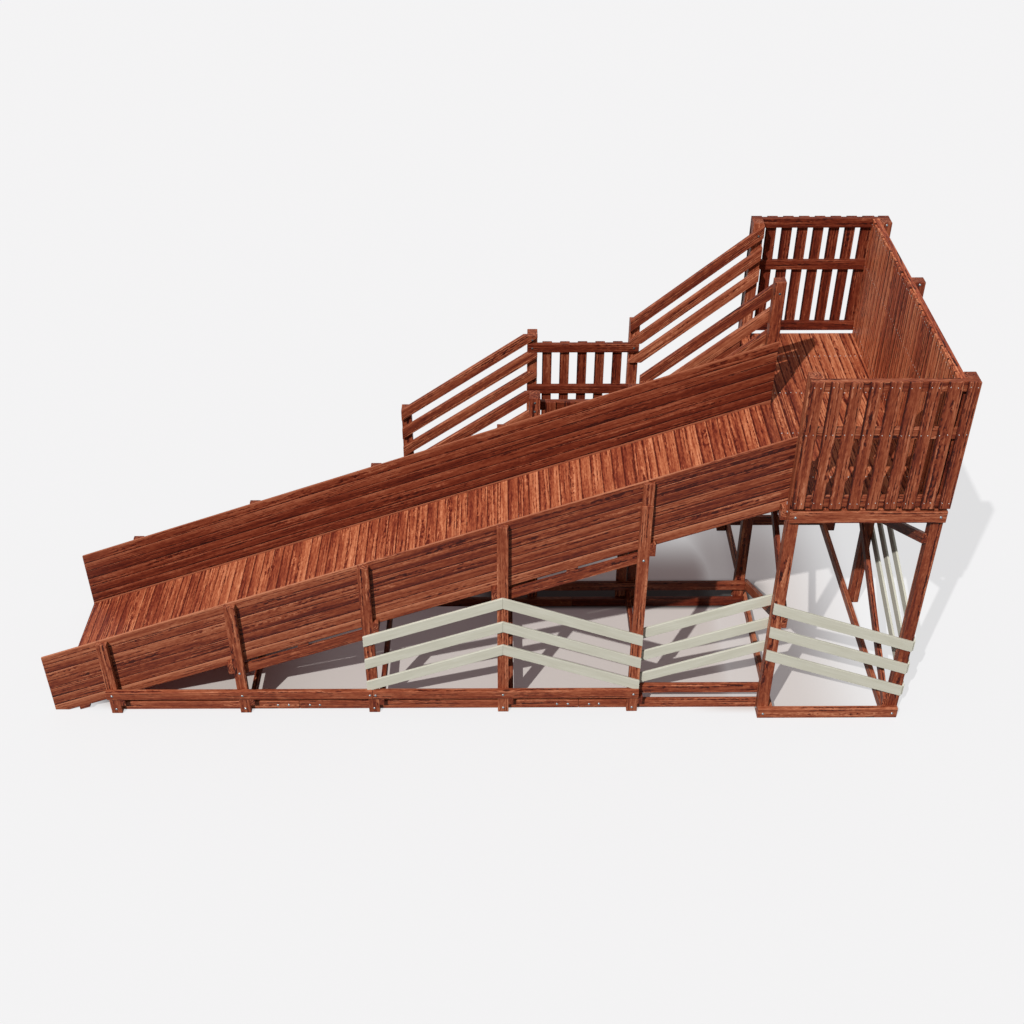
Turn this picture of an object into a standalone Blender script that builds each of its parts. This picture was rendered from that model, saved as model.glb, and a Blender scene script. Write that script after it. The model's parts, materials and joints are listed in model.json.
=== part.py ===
"""Timber toboggan slide: a sloping chute on trestles, a boarded start platform and a two-flight stair.

Metres, +Z up. The slide is laid out from the front left foot of the chute: X runs up the chute, Y runs
from the front side to the stair side, and Z rises from the ground. One empty then carries every piece so
that the origin lies at the middle of the footprint, on the ground.
"""

import math

import bmesh
import bpy
from mathutils import Matrix, Vector

# Clearance between pieces, overlap of joined pieces, and how far a cutter runs past what it cuts
GAP = 0.0003
BITE = 0.002
REACH = 1.0

# Timber sections
BOARD = 0.02
PLANK = 0.045
RAIL_HEIGHT = 0.095
BEAM_HEIGHT = 0.115
POST = 0.10

# Chute: five trestles and one longer bay before the tower
BAY = 1.2
TRESTLES = 5
CHUTE_SLOPE = math.tan(math.radians(20.0))
CHUTE_WIDTH = 1.585
TRESTLE_POST_DEPTH = 0.05
CHUTE_FOOT = -0.54
FLOOR_START = 0.2325
FLOOR_THICKNESS = 0.0234
WALL_TOP = 0.853
WALL_BOTTOM = 0.150
BEARER_HEIGHT = 0.13
BEARER_WIDTH = 0.05
JOIST_TOP = 0.104
JOIST_BOTTOM = -0.008
BRACED_BAYS = (1, 3)
SPACER_LENGTH = 0.10
FOOT_BEARER_START = -0.31

# Rails along the ground
GROUND_BEAM_TOP = 0.19
HIGH_RAIL_BOTTOM = 0.216
BACK_HIGH_RAIL_BOTTOM = 0.210
TOWER_BAY_RAIL_BOTTOM = 0.1903

# Tower
TOWER_LEFT = 6.01
TOWER_WIDTH = 1.30
TOWER_HEIGHT = 3.65
DECK_TOP = 2.42
DECK_THICKNESS = 0.022
POST_ROWS = (-0.05, 1.535, 2.74)
PLATFORM_BEAM_TOP = 2.40
LEDGER_BOTTOMS = (2.455, 3.12, 3.555)
SLAT_BOTTOM = 2.443
SLAT_COUNT = 9
SLAT_WIDTH = 0.10
DECK_JOISTS = (0.376, 1.050, 1.724, 2.398)
SIDE_BEAM_HEIGHT = 0.12

# Braces on the sides of the tower, as heights of their middle line at the front post row
BRACE_JOINT = 1.14
LEFT_LOW_BRACE = (1.108, -0.565)
LEFT_HIGH_BRACE = (1.17, 0.56)
RIGHT_LOW_BRACE = (0.18, 0.56)
RIGHT_HIGH_BRACE = (2.06, -0.56)
BRACE_HEIGHT = 0.105

# Stair: landing on two pairs of newels, one flight up to it and one on to the deck
RISERS = 12
LANDING_RISERS = 7
LOWER_GOING = 0.288
UPPER_GOING = 0.2415
LANDING_LEFT = 3.90
TREAD_THICKNESS = 0.04
NOSING = 0.02
STRINGER_DEPTH = 0.28
FOOT_NEWEL = 2.61
FAR_LANDING_NEWEL = 4.91
FOOT_NEWEL_TOP = 1.60
LEFT_NEWEL_TOP = 2.48
RIGHT_NEWEL_TOP = 2.61
HANDRAIL_PITCH = 0.225
HANDRAILS = 3
LOWER_HANDRAIL = (0.70, 3.30, 2.088, 0.122)
UPPER_HANDRAIL = (0.835, 5.50, 3.135, 0.130)
GUARD_RAILS = (1.44, 1.812, 2.29)
GUARD_TOP = 2.385
GUARD_SLATS = 5
GUARD_SLAT_START = 0.05
GUARD_SLAT_PITCH = 0.1755
GUARD_SLAT_BOTTOM = 1.45
SECOND_RAIL_FOOT = 2.3857
THIRD_RAIL_FOOT = 2.17
THIRD_RAIL_HEAD = 2.06

# Pale painted rails that close the space below the chute and the tower
PALE_SLOPE = 0.36
TOWER_PALE_SLOPE = 0.352
PALE_PITCH = 0.275
PALE_ROWS = 3
PALE_HEIGHT = 0.117
CHUTE_PALE_PEAK = 1.41
TOWER_BAY_PALE_START = 0.985
TOWER_PALE_START = 1.38

# Colours
STAINED_TIMBER = (0.30, 0.085, 0.040, 1.0)
PALE_PAINT = (0.60, 0.60, 0.50, 1.0)

TOWER_RIGHT = TOWER_LEFT + TOWER_WIDTH
TOWER_FRONT = POST_ROWS[0]
TOWER_BACK = POST_ROWS[2] + POST
RISE = DECK_TOP / RISERS
LANDING_TOP = RISE * LANDING_RISERS
LANDING_RIGHT = TOWER_LEFT - UPPER_GOING * (RISERS - LANDING_RISERS - 1)
STAIR_FOOT = LANDING_LEFT - LOWER_GOING * (LANDING_RISERS - 1)
NEAR_FACE = POST_ROWS[1] + POST
FAR_FACE = POST_ROWS[2]
GUARD_CLEARANCE = 2 * GAP + BITE


def clear_scene():
    """Empty the scene that the script is run in."""
    for thing in list(bpy.data.objects):
        bpy.data.objects.remove(thing, do_unlink=True)


def new_collection(name):
    """A collection linked to the scene."""
    collection = bpy.data.collections.new(name)
    bpy.context.scene.collection.children.link(collection)
    return collection


def new_material(name, colour, roughness):
    """A finish with one colour."""
    material = bpy.data.materials.new(name)
    material.use_nodes = True
    shader = material.node_tree.nodes["Principled BSDF"]
    shader.inputs["Base Color"].default_value = colour
    shader.inputs["Roughness"].default_value = roughness
    shader.inputs["Metallic"].default_value = 0.0
    return material


clear_scene()
SLIDE = new_collection("toboggan_slide")
HELPERS = new_collection("cutters_and_joined_pieces")
TIMBER = new_material("stained_timber", STAINED_TIMBER, 0.55)
PAINT = new_material("pale_paint", PALE_PAINT, 0.50)
ORIGIN = bpy.data.objects.new("slide_origin", None)
SLIDE.objects.link(ORIGIN)


def block(name, x, y, z, slope=0.0, lean=0.0, finish=TIMBER):
    """A box over the spans x, y and z, raised by slope along X or by lean along Y, its ends plumb.

    The heights z hold at the middle of the piece.
    """
    spans = (x, y, z)
    size = Vector([high - low for low, high in spans])
    centre = Vector([(low + high) / 2 for low, high in spans])
    shear = Matrix.Identity(4)
    shear[2][0] = slope
    shear[2][1] = lean
    form = bmesh.new()
    bmesh.ops.create_cube(form, size=1.0)
    bmesh.ops.scale(form, vec=size, verts=form.verts)
    bmesh.ops.transform(form, matrix=shear, verts=form.verts)
    mesh = bpy.data.meshes.new(name)
    form.to_mesh(mesh)
    form.free()
    mesh.materials.append(finish)
    piece = bpy.data.objects.new(name, mesh)
    piece.location = centre
    piece.parent = ORIGIN
    SLIDE.objects.link(piece)
    return piece


def along_x(name, x, y, low, high, slope, finish=TIMBER):
    """A plumb-cut piece that climbs along X, its bottom and top lines given by their heights at X = 0."""
    middle = slope * (x[0] + x[1]) / 2
    return block(name, x, y, (low + middle, high + middle), slope=slope, finish=finish)


def along_y(name, x, y, low, high, lean, finish=TIMBER):
    """A plumb-cut piece that climbs along Y, its bottom and top lines given by their heights at Y = 0."""
    middle = lean * (y[0] + y[1]) / 2
    return block(name, x, y, (low + middle, high + middle), lean=lean, finish=finish)


def put_away(piece):
    """Keep a helper piece out of the model."""
    SLIDE.objects.unlink(piece)
    HELPERS.objects.link(piece)
    piece.hide_render = True
    piece.display_type = "WIRE"


def boolean(piece, others, operation):
    """Join other pieces to a piece, or cut them out of it."""
    for other in others:
        step = piece.modifiers.new(f"{operation.lower()}_{other.name}", "BOOLEAN")
        step.operation = operation
        step.solver = "EXACT"
        step.object = other
        put_away(other)
    return piece


def join(piece, others):
    """Fuse the pieces that a main piece carries with it."""
    return boolean(piece, others, "UNION")


def cut(piece, others):
    """Take cutters away from a piece."""
    return boolean(piece, others, "DIFFERENCE")


def across(span):
    """The same span of Y, measured from the stair side of the chute instead of its front."""
    return (CHUTE_WIDTH - span[1], CHUTE_WIDTH - span[0])


def post_start(number):
    """The left face of a trestle's posts."""
    return BAY * number


def bearer_span(number):
    """The span in X of a cross bearer, outside the posts at the ends of each braced bay."""
    left = post_start(number)
    if number in BRACED_BAYS:
        return (left - BEARER_WIDTH, left)
    if number < TRESTLES:
        return (left + POST, left + POST + BEARER_WIDTH)
    return (TOWER_LEFT - BEARER_WIDTH - GAP, TOWER_LEFT - GAP)


def bearer_room(number):
    """The span in X and the height of the room that a cross bearer takes below the floor and the walls."""
    start, end = bearer_span(number)
    return (start - GAP - BITE, end + GAP + BITE), floor_underside(start - BITE)


def floor_underside(x):
    """Height of the underside of the chute floor."""
    return FLOOR_START - FLOOR_THICKNESS + CHUTE_SLOPE * x


def newel_room(name):
    """A cutter that leaves room for the newel beside the last trestle."""
    x = (FAR_LANDING_NEWEL - GAP, FAR_LANDING_NEWEL + POST + GAP)
    y = (POST_ROWS[1] - GAP, POST_ROWS[1] + POST)
    return block(name, x, y, (-POST, TOWER_HEIGHT))


def ground_beam_room(name, y):
    """A cutter that leaves room for the first trestle's ground beam."""
    return block(name, (POST - GAP - BITE, POST + PLANK + GAP), y, (-POST, GROUND_BEAM_TOP + GAP))


def chute_beam_spans():
    """The spans in Y of the three beams below the chute floor."""
    inner = TRESTLE_POST_DEPTH + 2 * GAP + BOARD
    edge = (inner, inner + PLANK)
    middle = (CHUTE_WIDTH / 2 - PLANK / 2, CHUTE_WIDTH / 2 + PLANK / 2)
    return edge, middle, across(edge)


def make_bearer(name, number):
    """A cross bearer below the chute floor, notched from above for the three beams."""
    room, top = bearer_room(number)
    high = top - GAP
    bearer = block(name, bearer_span(number), (0.0, CHUTE_WIDTH), (high - BEARER_HEIGHT, high))
    notches = []
    for count, y in enumerate(chute_beam_spans()):
        wide = (y[0] - GAP, y[1] + GAP)
        low = JOIST_TOP - GAP
        notches.append(along_x(f"{name}_notch_{count}", room, wide, low, low + REACH, CHUTE_SLOPE))
    return cut(bearer, notches)


def make_trestle(number):
    """Two posts of the chute, the beam between their feet and the bearer for the floor."""
    left = post_start(number)
    span = (left, left + POST)
    top = WALL_TOP + CHUTE_SLOPE * (left + POST / 4)
    front = (0.0, TRESTLE_POST_DEPTH)
    name = f"trestle_{number + 1}"
    post = block(name, span, front, (0.0, top))
    back = block(f"{name}_back_post", span, across(front), (0.0, top))
    beam = block(
        f"{name}_ground_beam",
        (span[1] - BITE, span[1] + PLANK),
        (0.0, CHUTE_WIDTH),
        (RAIL_HEIGHT + GAP, GROUND_BEAM_TOP),
    )
    join(post, [beam, back])
    if number > 0:
        bearer = make_bearer(f"{name}_bearer", number)
        tie = BITE if number in BRACED_BAYS else -BITE
        bearer.location.x += tie
        join(post, [bearer])
    if number == TRESTLES - 1:
        cut(post, [newel_room(f"{name}_newel_notch")])
    return post


def make_chute_beams():
    """The three beams below the chute floor, the outer two with the joists and spacers of the braced bays."""
    edge, middle, far_edge = chute_beam_spans()
    top = FLOOR_START - FLOOR_THICKNESS - GAP
    run = (FOOT_BEARER_START + POST + GAP, TOWER_LEFT - GAP)
    beam = along_x("chute_beam_middle", run, middle, JOIST_TOP, top, CHUTE_SLOPE)
    cut(beam, [ground_beam_room("beam_middle_notch", (middle[0] - BOARD, middle[1] + BOARD))])
    outer = (TRESTLE_POST_DEPTH + GAP, TRESTLE_POST_DEPTH + PLANK)
    spacer = (TRESTLE_POST_DEPTH + BITE, edge[0] + BITE)
    sides = (("front", edge, outer, spacer), ("back", far_edge, across(outer), across(spacer)))
    for side, y, y_joist, y_spacer in sides:
        beam = along_x(f"chute_beam_{side}", run, y, JOIST_TOP, top, CHUTE_SLOPE)
        pieces = []
        for bay in BRACED_BAYS:
            x = (post_start(bay) + BITE + GAP, post_start(bay + 1) + POST - BITE - GAP)
            centre = (x[0] + x[1]) / 2
            short = (centre - SPACER_LENGTH / 2, centre + SPACER_LENGTH / 2)
            high = WALL_BOTTOM - GAP
            pieces.append(along_x(f"joist_{bay}_{side}", x, y_joist, JOIST_BOTTOM, JOIST_TOP + BITE, CHUTE_SLOPE))
            pieces.append(along_x(f"spacer_{bay}_{side}", short, y_spacer, JOIST_TOP, high, CHUTE_SLOPE))
        join(beam, pieces)
        cut(beam, [ground_beam_room(f"beam_{side}_notch", (y[0] - BOARD, y[1] + BOARD))])


def make_chute_wall(name, y):
    """One boarded side of the chute, cut level at the ground and notched over the bearers and the deck."""
    end = TOWER_LEFT + POST
    wall = along_x(name, (CHUTE_FOOT, end), y, WALL_BOTTOM, WALL_TOP, CHUTE_SLOPE)
    wide = (y[0] - BOARD, y[1] + BOARD)
    cutters = [block(f"{name}_ground", (CHUTE_FOOT - REACH, 0.0), wide, (-REACH, 0.0))]
    cutters.append(ground_beam_room(f"{name}_ground_beam_notch", wide))
    cutters.append(block(f"{name}_deck", (TOWER_LEFT - GAP, end + REACH), wide, (REACH, DECK_TOP + GAP)))
    for number in range(1, TRESTLES + 1):
        room, top = bearer_room(number)
        cutters.append(block(f"{name}_notch_{number}", room, wide, (top - REACH, top)))
    return cut(wall, cutters)


def make_foot_bearer(inside):
    """The bearer below the chute's foot, laid at the chute's slope with its lower edge on the ground."""
    x = (FOOT_BEARER_START, FOOT_BEARER_START + POST)
    low = -CHUTE_SLOPE * FOOT_BEARER_START
    whole = (TRESTLE_POST_DEPTH, CHUTE_WIDTH - TRESTLE_POST_DEPTH)
    main = along_x("foot_bearer", x, inside, low, FLOOR_START - FLOOR_THICKNESS - GAP, CHUTE_SLOPE)
    ends = along_x("foot_bearer_ends", x, whole, low, WALL_BOTTOM - GAP, CHUTE_SLOPE)
    return join(main, [ends])


def make_chute():
    """The chute: floor, frame, sides, trestles and the bearer below its foot."""
    wall = (TRESTLE_POST_DEPTH + GAP, TRESTLE_POST_DEPTH + GAP + BOARD)
    inside = (wall[1] + GAP, CHUTE_WIDTH - wall[1] - GAP)
    along_x(
        "chute_floor",
        (CHUTE_FOOT, TOWER_LEFT - GAP),
        inside,
        FLOOR_START - FLOOR_THICKNESS,
        FLOOR_START,
        CHUTE_SLOPE,
    )
    make_chute_beams()
    make_bearer("chute_head_bearer", TRESTLES)
    make_chute_wall("chute_wall_front", wall)
    make_chute_wall("chute_wall_back", across(wall))
    for number in range(TRESTLES):
        make_trestle(number)
    make_foot_bearer(inside)


def make_ground_rails():
    """Rails along both sides of the chute, low on the ground and higher over it."""
    behind = (TRESTLE_POST_DEPTH + GAP, TRESTLE_POST_DEPTH + PLANK)
    full = (0.0, TOWER_LEFT + POST)
    last_post = post_start(TRESTLES - 1)
    block("low_rail_front", full, behind, (0.0, RAIL_HEIGHT))
    block("low_rail_back", full, across(behind), (0.0, RAIL_HEIGHT))
    high = (HIGH_RAIL_BOTTOM, HIGH_RAIL_BOTTOM + RAIL_HEIGHT)
    block("high_rail_front", (0.0, last_post + POST), (-PLANK, -GAP), high)
    back_high = (BACK_HIGH_RAIL_BOTTOM, BACK_HIGH_RAIL_BOTTOM + RAIL_HEIGHT)
    block("high_rail_back", (post_start(1), full[1]), across(behind), back_high)
    bay_high = (TOWER_BAY_RAIL_BOTTOM, TOWER_BAY_RAIL_BOTTOM + RAIL_HEIGHT)
    block("high_rail_tower_bay", (last_post, full[1]), behind, bay_high)


def tower_posts():
    """The spans in X and Y of the six tower posts, by name."""
    spans = {}
    for row, start in zip(("front", "middle", "back"), POST_ROWS):
        for side, left in (("left", TOWER_LEFT), ("right", TOWER_RIGHT - POST)):
            spans[f"{row}_{side}"] = ((left, left + POST), (start, start + POST))
    return spans


def make_slat_panel(name, ledger_y, slat_y):
    """An open panel of upright slats on three ledgers."""
    slat_y = (slat_y[0] - BITE, slat_y[1]) if slat_y[0] > ledger_y[0] else (slat_y[0], slat_y[1] + BITE)
    width = (TOWER_LEFT, TOWER_RIGHT)
    pitch = (TOWER_WIDTH - SLAT_WIDTH) / (SLAT_COUNT - 1)
    levels = [(low, low + RAIL_HEIGHT) for low in LEDGER_BOTTOMS]
    main = block(name, width, ledger_y, levels[0])
    pieces = [block(f"{name}_ledger_{n}", width, ledger_y, z) for n, z in enumerate(levels[1:])]
    for number in range(SLAT_COUNT):
        left = TOWER_LEFT + pitch * number
        x = (left, left + SLAT_WIDTH)
        pieces.append(block(f"{name}_slat_{number}", x, slat_y, (SLAT_BOTTOM, TOWER_HEIGHT)))
    return join(main, pieces)


def make_brace(name, x, line, joint_y, level):
    """A side brace between the front and middle posts, cut level where it meets its neighbours."""
    height, lean = line
    y = (TOWER_FRONT, POST_ROWS[1] + POST)
    brace = along_y(name, x, y, height - BRACE_HEIGHT / 2, height + BRACE_HEIGHT / 2, lean)
    wide = (x[0] - BOARD, x[1] + BOARD)
    room = (joint_y - POST * 2, joint_y + POST * 2)
    top = DECK_TOP - DECK_THICKNESS - SIDE_BEAM_HEIGHT - 2 * GAP
    cutters = [block(f"{name}_joint", wide, room, level)]
    cutters.append(block(f"{name}_top", wide, (y[0] - POST, y[1] + POST), (top, top + REACH)))
    return cut(brace, cutters)


def make_brace_pair(name, x, low_line, high_line, row):
    """Two braces of one side, meeting on the post row that carries their joint."""
    lower = make_brace(name, x, low_line, row + POST / 2, (BRACE_JOINT + BITE, TOWER_HEIGHT))
    upper = make_brace(f"{name}_upper", x, high_line, row + POST / 2, (0.0, BRACE_JOINT))
    return join(lower, [upper])


def make_tower():
    """The start tower: posts, base, platform, panels and braces."""
    posts = tower_posts()
    for name, (x, y) in posts.items():
        block(f"tower_post_{name}", x, y, (0.0, TOWER_HEIGHT))
    width = (TOWER_LEFT, TOWER_RIGHT)
    depth = (TOWER_FRONT, TOWER_BACK)
    front = (TOWER_FRONT - PLANK, TOWER_FRONT - GAP)
    back = (TOWER_BACK + GAP, TOWER_BACK + PLANK)
    left = (TOWER_LEFT + POST + GAP, TOWER_LEFT + POST + PLANK)
    right = (TOWER_RIGHT - POST - PLANK, TOWER_RIGHT - POST - GAP)
    reach = (front[1] - BITE, back[0] + BITE)
    base = block("tower_base_frame", width, front, (0.0, BEAM_HEIGHT))
    sides = [block("base_beam_back", width, back, (0.0, BEAM_HEIGHT))]
    sides.append(block("base_beam_left", left, reach, (0.0, RAIL_HEIGHT)))
    sides.append(block("base_beam_right", right, reach, (0.0, RAIL_HEIGHT)))
    join(base, sides)
    platform = (PLATFORM_BEAM_TOP - BEAM_HEIGHT, PLATFORM_BEAM_TOP)
    under = DECK_TOP - DECK_THICKNESS - GAP
    beam = block("platform_frame", width, front, platform)
    members = [block("platform_beam_back", width, back, platform)]
    members.append(block("platform_beam_left", left, reach, (under - SIDE_BEAM_HEIGHT, under)))
    members.append(block("platform_beam_right", right, reach, (under - SIDE_BEAM_HEIGHT, under)))
    for number, centre in enumerate(DECK_JOISTS):
        y = (centre - PLANK / 2, centre + PLANK / 2)
        x = (left[1] - BITE, right[0] + BITE)
        members.append(block(f"deck_joist_{number}", x, y, (under - RAIL_HEIGHT, under - BITE)))
    join(beam, members)
    deck = block("platform_deck", (TOWER_LEFT, right[1]), depth, (DECK_TOP - DECK_THICKNESS, DECK_TOP))
    notches = []
    for name, (x, y) in posts.items():
        if name.endswith("left"):
            notches.append(
                block(
                    f"deck_notch_{name}",
                    (x[0] - POST, x[1] + GAP),
                    (y[0] - GAP, y[1] + GAP),
                    (DECK_TOP - POST, DECK_TOP + POST),
                )
            )
    cut(deck, notches)
    make_slat_panel("slat_panel_front", front, (front[0] - BOARD, front[0]))
    make_slat_panel("slat_panel_back", back, (back[1], back[1] + BOARD))
    boards = (right[0] - BOARD, right[0] + BITE)
    wall = block("board_wall_right", boards, depth, (DECK_TOP + GAP, TOWER_HEIGHT))
    rails = [block(f"board_wall_rail_{low}", right, depth, (low, low + RAIL_HEIGHT)) for low in LEDGER_BOTTOMS]
    join(wall, rails)
    make_brace_pair("braces_left", left, LEFT_LOW_BRACE, LEFT_HIGH_BRACE, POST_ROWS[0])
    make_brace_pair("braces_right", right, RIGHT_LOW_BRACE, RIGHT_HIGH_BRACE, POST_ROWS[1])


def make_flight(name, start, end, going, first_level):
    """A flight of treads between two stringers, rising from a level."""
    slope = RISE / going
    near = rail_plane("near", GUARD_CLEARANCE)
    far = rail_plane("far", GUARD_CLEARANCE)
    nosing_line = first_level + RISE - slope * start
    low = nosing_line + NOSING - STRINGER_DEPTH
    high = nosing_line + NOSING
    main = along_x(name, (start, end), near, low, high, slope)
    pieces = [along_x(f"{name}_far_stringer", (start, end), far, low, high, slope)]
    treads = round((end - start) / going)
    for number in range(treads):
        x = (start + going * number, start + going * (number + 1) + NOSING)
        top = first_level + RISE * (number + 1)
        if number == treads - 1:
            x = (x[0], end)
        span = (near[1] - NOSING, far[0] + NOSING)
        pieces.append(block(f"{name}_tread_{number}", x, span, (top - TREAD_THICKNESS, top)))
    join(main, pieces)
    return cut(main, [block(f"{name}_ground", (start - REACH, end), (near[0] - REACH, far[1] + REACH), (-REACH, 0.0))])


def make_landing():
    """The landing between the flights: boards on a frame."""
    x = (LANDING_LEFT + GAP, LANDING_RIGHT - GAP)
    y = (NEAR_FACE + GUARD_CLEARANCE, FAR_FACE - GUARD_CLEARANCE)
    landing = block("landing", x, y, (LANDING_TOP - DECK_THICKNESS, LANDING_TOP))
    under = (LANDING_TOP - DECK_THICKNESS - BEAM_HEIGHT, LANDING_TOP - DECK_THICKNESS + BITE)
    members = []
    for number, start in enumerate((x[0], (x[0] + x[1] - PLANK) / 2, x[1] - PLANK)):
        members.append(block(f"landing_joist_{number}", (start, start + PLANK), y, under))
    members.append(block("landing_beam_near", x, (y[0], y[0] + PLANK), under))
    members.append(block("landing_beam_far", x, (y[1] - PLANK, y[1]), under))
    return join(landing, members)


def rail_plane(side, clearance):
    """The span in Y of the rails on one side of the stair, a clearance inside its newels' faces."""
    if side == "near":
        return (NEAR_FACE + clearance, NEAR_FACE + PLANK)
    return (FAR_FACE - PLANK, FAR_FACE - clearance)


def make_newel(name, side, left, top):
    """A newel that carries rails on its inner face."""
    if side == "near":
        return block(name, (left, left + POST), (NEAR_FACE - POST, NEAR_FACE + GAP + BITE), (0.0, top))
    return block(name, (left, left + POST), (FAR_FACE - GAP - BITE, FAR_FACE + POST), (0.0, top))


def make_handrails(name, side, x, line, trims):
    """Three parallel rails up one side of a flight, with cutters where they meet other rails."""
    slope, at, height, thickness = line
    base = height - slope * at
    plane = rail_plane(side, GAP)
    wide = (plane[0] - BOARD, plane[1] + BOARD)
    rails = []
    for row in range(HANDRAILS):
        high = base - HANDRAIL_PITCH * row
        rail = along_x(f"{name}_rail_{row}", x, plane, high - thickness, high, slope)
        cut(rail, [block(f"{name}_trim_{row}_{n}", trim[0], wide, trim[1]) for n, trim in enumerate(trims[row])])
        rails.append(rail)
    return rails


def make_lower_railing(side):
    """The railing of the lower flight, between the foot newel and the landing's first newel."""
    name = f"railing_lower_{side}"
    head = (LANDING_LEFT - GAP, LANDING_LEFT + 2 * POST)
    guard = (GUARD_RAILS[2] - GAP, GUARD_RAILS[2] + RAIL_HEIGHT + GAP)
    trims = (
        ((head, (LEFT_NEWEL_TOP, LEFT_NEWEL_TOP + REACH)), (head, guard)),
        ((head, (guard[0], guard[0] + REACH)),),
        ((head, (THIRD_RAIL_HEAD, THIRD_RAIL_HEAD + REACH)),),
    )
    newel = make_newel(name, side, FOOT_NEWEL, FOOT_NEWEL_TOP)
    head_newel = make_newel(f"{name}_head", side, LANDING_LEFT, LEFT_NEWEL_TOP)
    rails = make_handrails(name, side, (FOOT_NEWEL + BITE, LANDING_LEFT + POST - BITE), LOWER_HANDRAIL, trims)
    return join(newel, rails + [head_newel])


def make_upper_railing(side):
    """The railing of the upper flight, from the landing's second newel to the tower post."""
    name = f"railing_upper_{side}"
    foot = (FAR_LANDING_NEWEL - POST, FAR_LANDING_NEWEL + 2 * POST)
    trims = (
        (),
        ((foot, (SECOND_RAIL_FOOT - REACH, SECOND_RAIL_FOOT)),),
        ((foot, (THIRD_RAIL_FOOT - REACH, THIRD_RAIL_FOOT)),),
    )
    newel = make_newel(name, side, FAR_LANDING_NEWEL, RIGHT_NEWEL_TOP)
    rails = make_handrails(name, side, (FAR_LANDING_NEWEL + BITE, TOWER_LEFT + POST), UPPER_HANDRAIL, trims)
    return join(newel, rails)


def make_guard(side):
    """The landing's guard: three level rails and upright slats between the landing's newels."""
    name = f"landing_guard_{side}"
    plane = rail_plane(side, GUARD_CLEARANCE)
    slat = (plane[0] - BOARD, plane[0] + BITE) if side == "near" else (plane[1] - BITE, plane[1] + BOARD)
    x = (LANDING_LEFT, FAR_LANDING_NEWEL + POST)
    levels = [(low, low + RAIL_HEIGHT) for low in GUARD_RAILS]
    main = block(name, x, plane, levels[0])
    pieces = [block(f"{name}_rail_{n}", x, plane, z) for n, z in enumerate(levels[1:])]
    for number in range(GUARD_SLATS):
        left = LANDING_LEFT + POST + GUARD_SLAT_START + GUARD_SLAT_PITCH * number
        upright = (GUARD_SLAT_BOTTOM, GUARD_TOP + BITE)
        pieces.append(block(f"{name}_slat_{number}", (left, left + RAIL_HEIGHT), slat, upright))
    return join(main, pieces)


def make_stair():
    """Both flights, the landing and everything that guards them."""
    make_flight("stair_flight_lower", STAIR_FOOT, LANDING_LEFT - GAP, LOWER_GOING, 0.0)
    make_flight("stair_flight_upper", LANDING_RIGHT, TOWER_LEFT - GAP, UPPER_GOING, LANDING_TOP)
    make_landing()
    for side in ("near", "far"):
        make_lower_railing(side)
        make_upper_railing(side)
        make_guard(side)


def make_pale_rails():
    """Three rows of painted rails in each panel, rising and falling from panel to panel."""
    peak = post_start(3) + POST / 2
    ends = (post_start(2), post_start(4) + POST)
    front = (-BOARD, -GAP)
    behind = (TRESTLE_POST_DEPTH + GAP, TRESTLE_POST_DEPTH + GAP + BOARD)
    tower_front = (TOWER_FRONT - BOARD, TOWER_FRONT - GAP)
    side = (TOWER_RIGHT + GAP, TOWER_RIGHT + BOARD)
    ridge = POST_ROWS[1] + POST / 2
    low_corner = TOWER_PALE_START - TOWER_PALE_SLOPE * TOWER_WIDTH
    rail_top = HIGH_RAIL_BOTTOM + RAIL_HEIGHT + GAP
    for row in range(PALE_ROWS):
        drop = PALE_PITCH * row
        top = CHUTE_PALE_PEAK - drop - PALE_SLOPE * peak
        rise = along_x(
            f"pale_rail_chute_{row + 1}", (ends[0], peak + BITE), front, top - PALE_HEIGHT, top, PALE_SLOPE, PAINT
        )
        top = CHUTE_PALE_PEAK - drop + PALE_SLOPE * peak
        fall = along_x(f"pale_fall_{row}", (peak, ends[1]), front, top - PALE_HEIGHT, top, -PALE_SLOPE, PAINT)
        join(rise, [fall])
        cut(rise, [block(f"pale_seat_{row}", (0.0, TOWER_LEFT), (-POST, POST), (0.0, rail_top))])
        top = TOWER_BAY_PALE_START - drop - PALE_SLOPE * ends[1]
        along_x(
            f"pale_rail_tower_bay_{row + 1}",
            (post_start(4) + POST / 2, TOWER_LEFT + POST),
            behind,
            top - PALE_HEIGHT,
            top,
            PALE_SLOPE,
            PAINT,
        )
        top = TOWER_PALE_START - drop + TOWER_PALE_SLOPE * TOWER_LEFT
        facing = along_x(
            f"pale_rail_tower_{row + 1}",
            (TOWER_LEFT, side[0] + BITE),
            tower_front,
            top - PALE_HEIGHT,
            top,
            -TOWER_PALE_SLOPE,
            PAINT,
        )
        top = low_corner - drop - TOWER_PALE_SLOPE * TOWER_FRONT
        near = along_y(
            f"pale_side_rise_{row}",
            side,
            (tower_front[0], ridge + BITE),
            top - PALE_HEIGHT,
            top,
            TOWER_PALE_SLOPE,
            PAINT,
        )
        top = top + 2 * TOWER_PALE_SLOPE * ridge
        beyond = (ridge, TOWER_BACK)
        far = along_y(f"pale_side_fall_{row}", side, beyond, top - PALE_HEIGHT, top, -TOWER_PALE_SLOPE, PAINT)
        join(facing, [near, far])


def main():
    """Build the slide and set its origin at the middle of its footprint."""
    make_chute()
    make_ground_rails()
    make_tower()
    make_stair()
    make_pale_rails()
    x_span = (CHUTE_FOOT, TOWER_RIGHT + BOARD)
    y_span = (TOWER_FRONT - PLANK - BOARD, TOWER_BACK + PLANK + BOARD)
    ORIGIN.location = (-(x_span[0] + x_span[1]) / 2, -(y_span[0] + y_span[1]) / 2, 0.0)


main()
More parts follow.
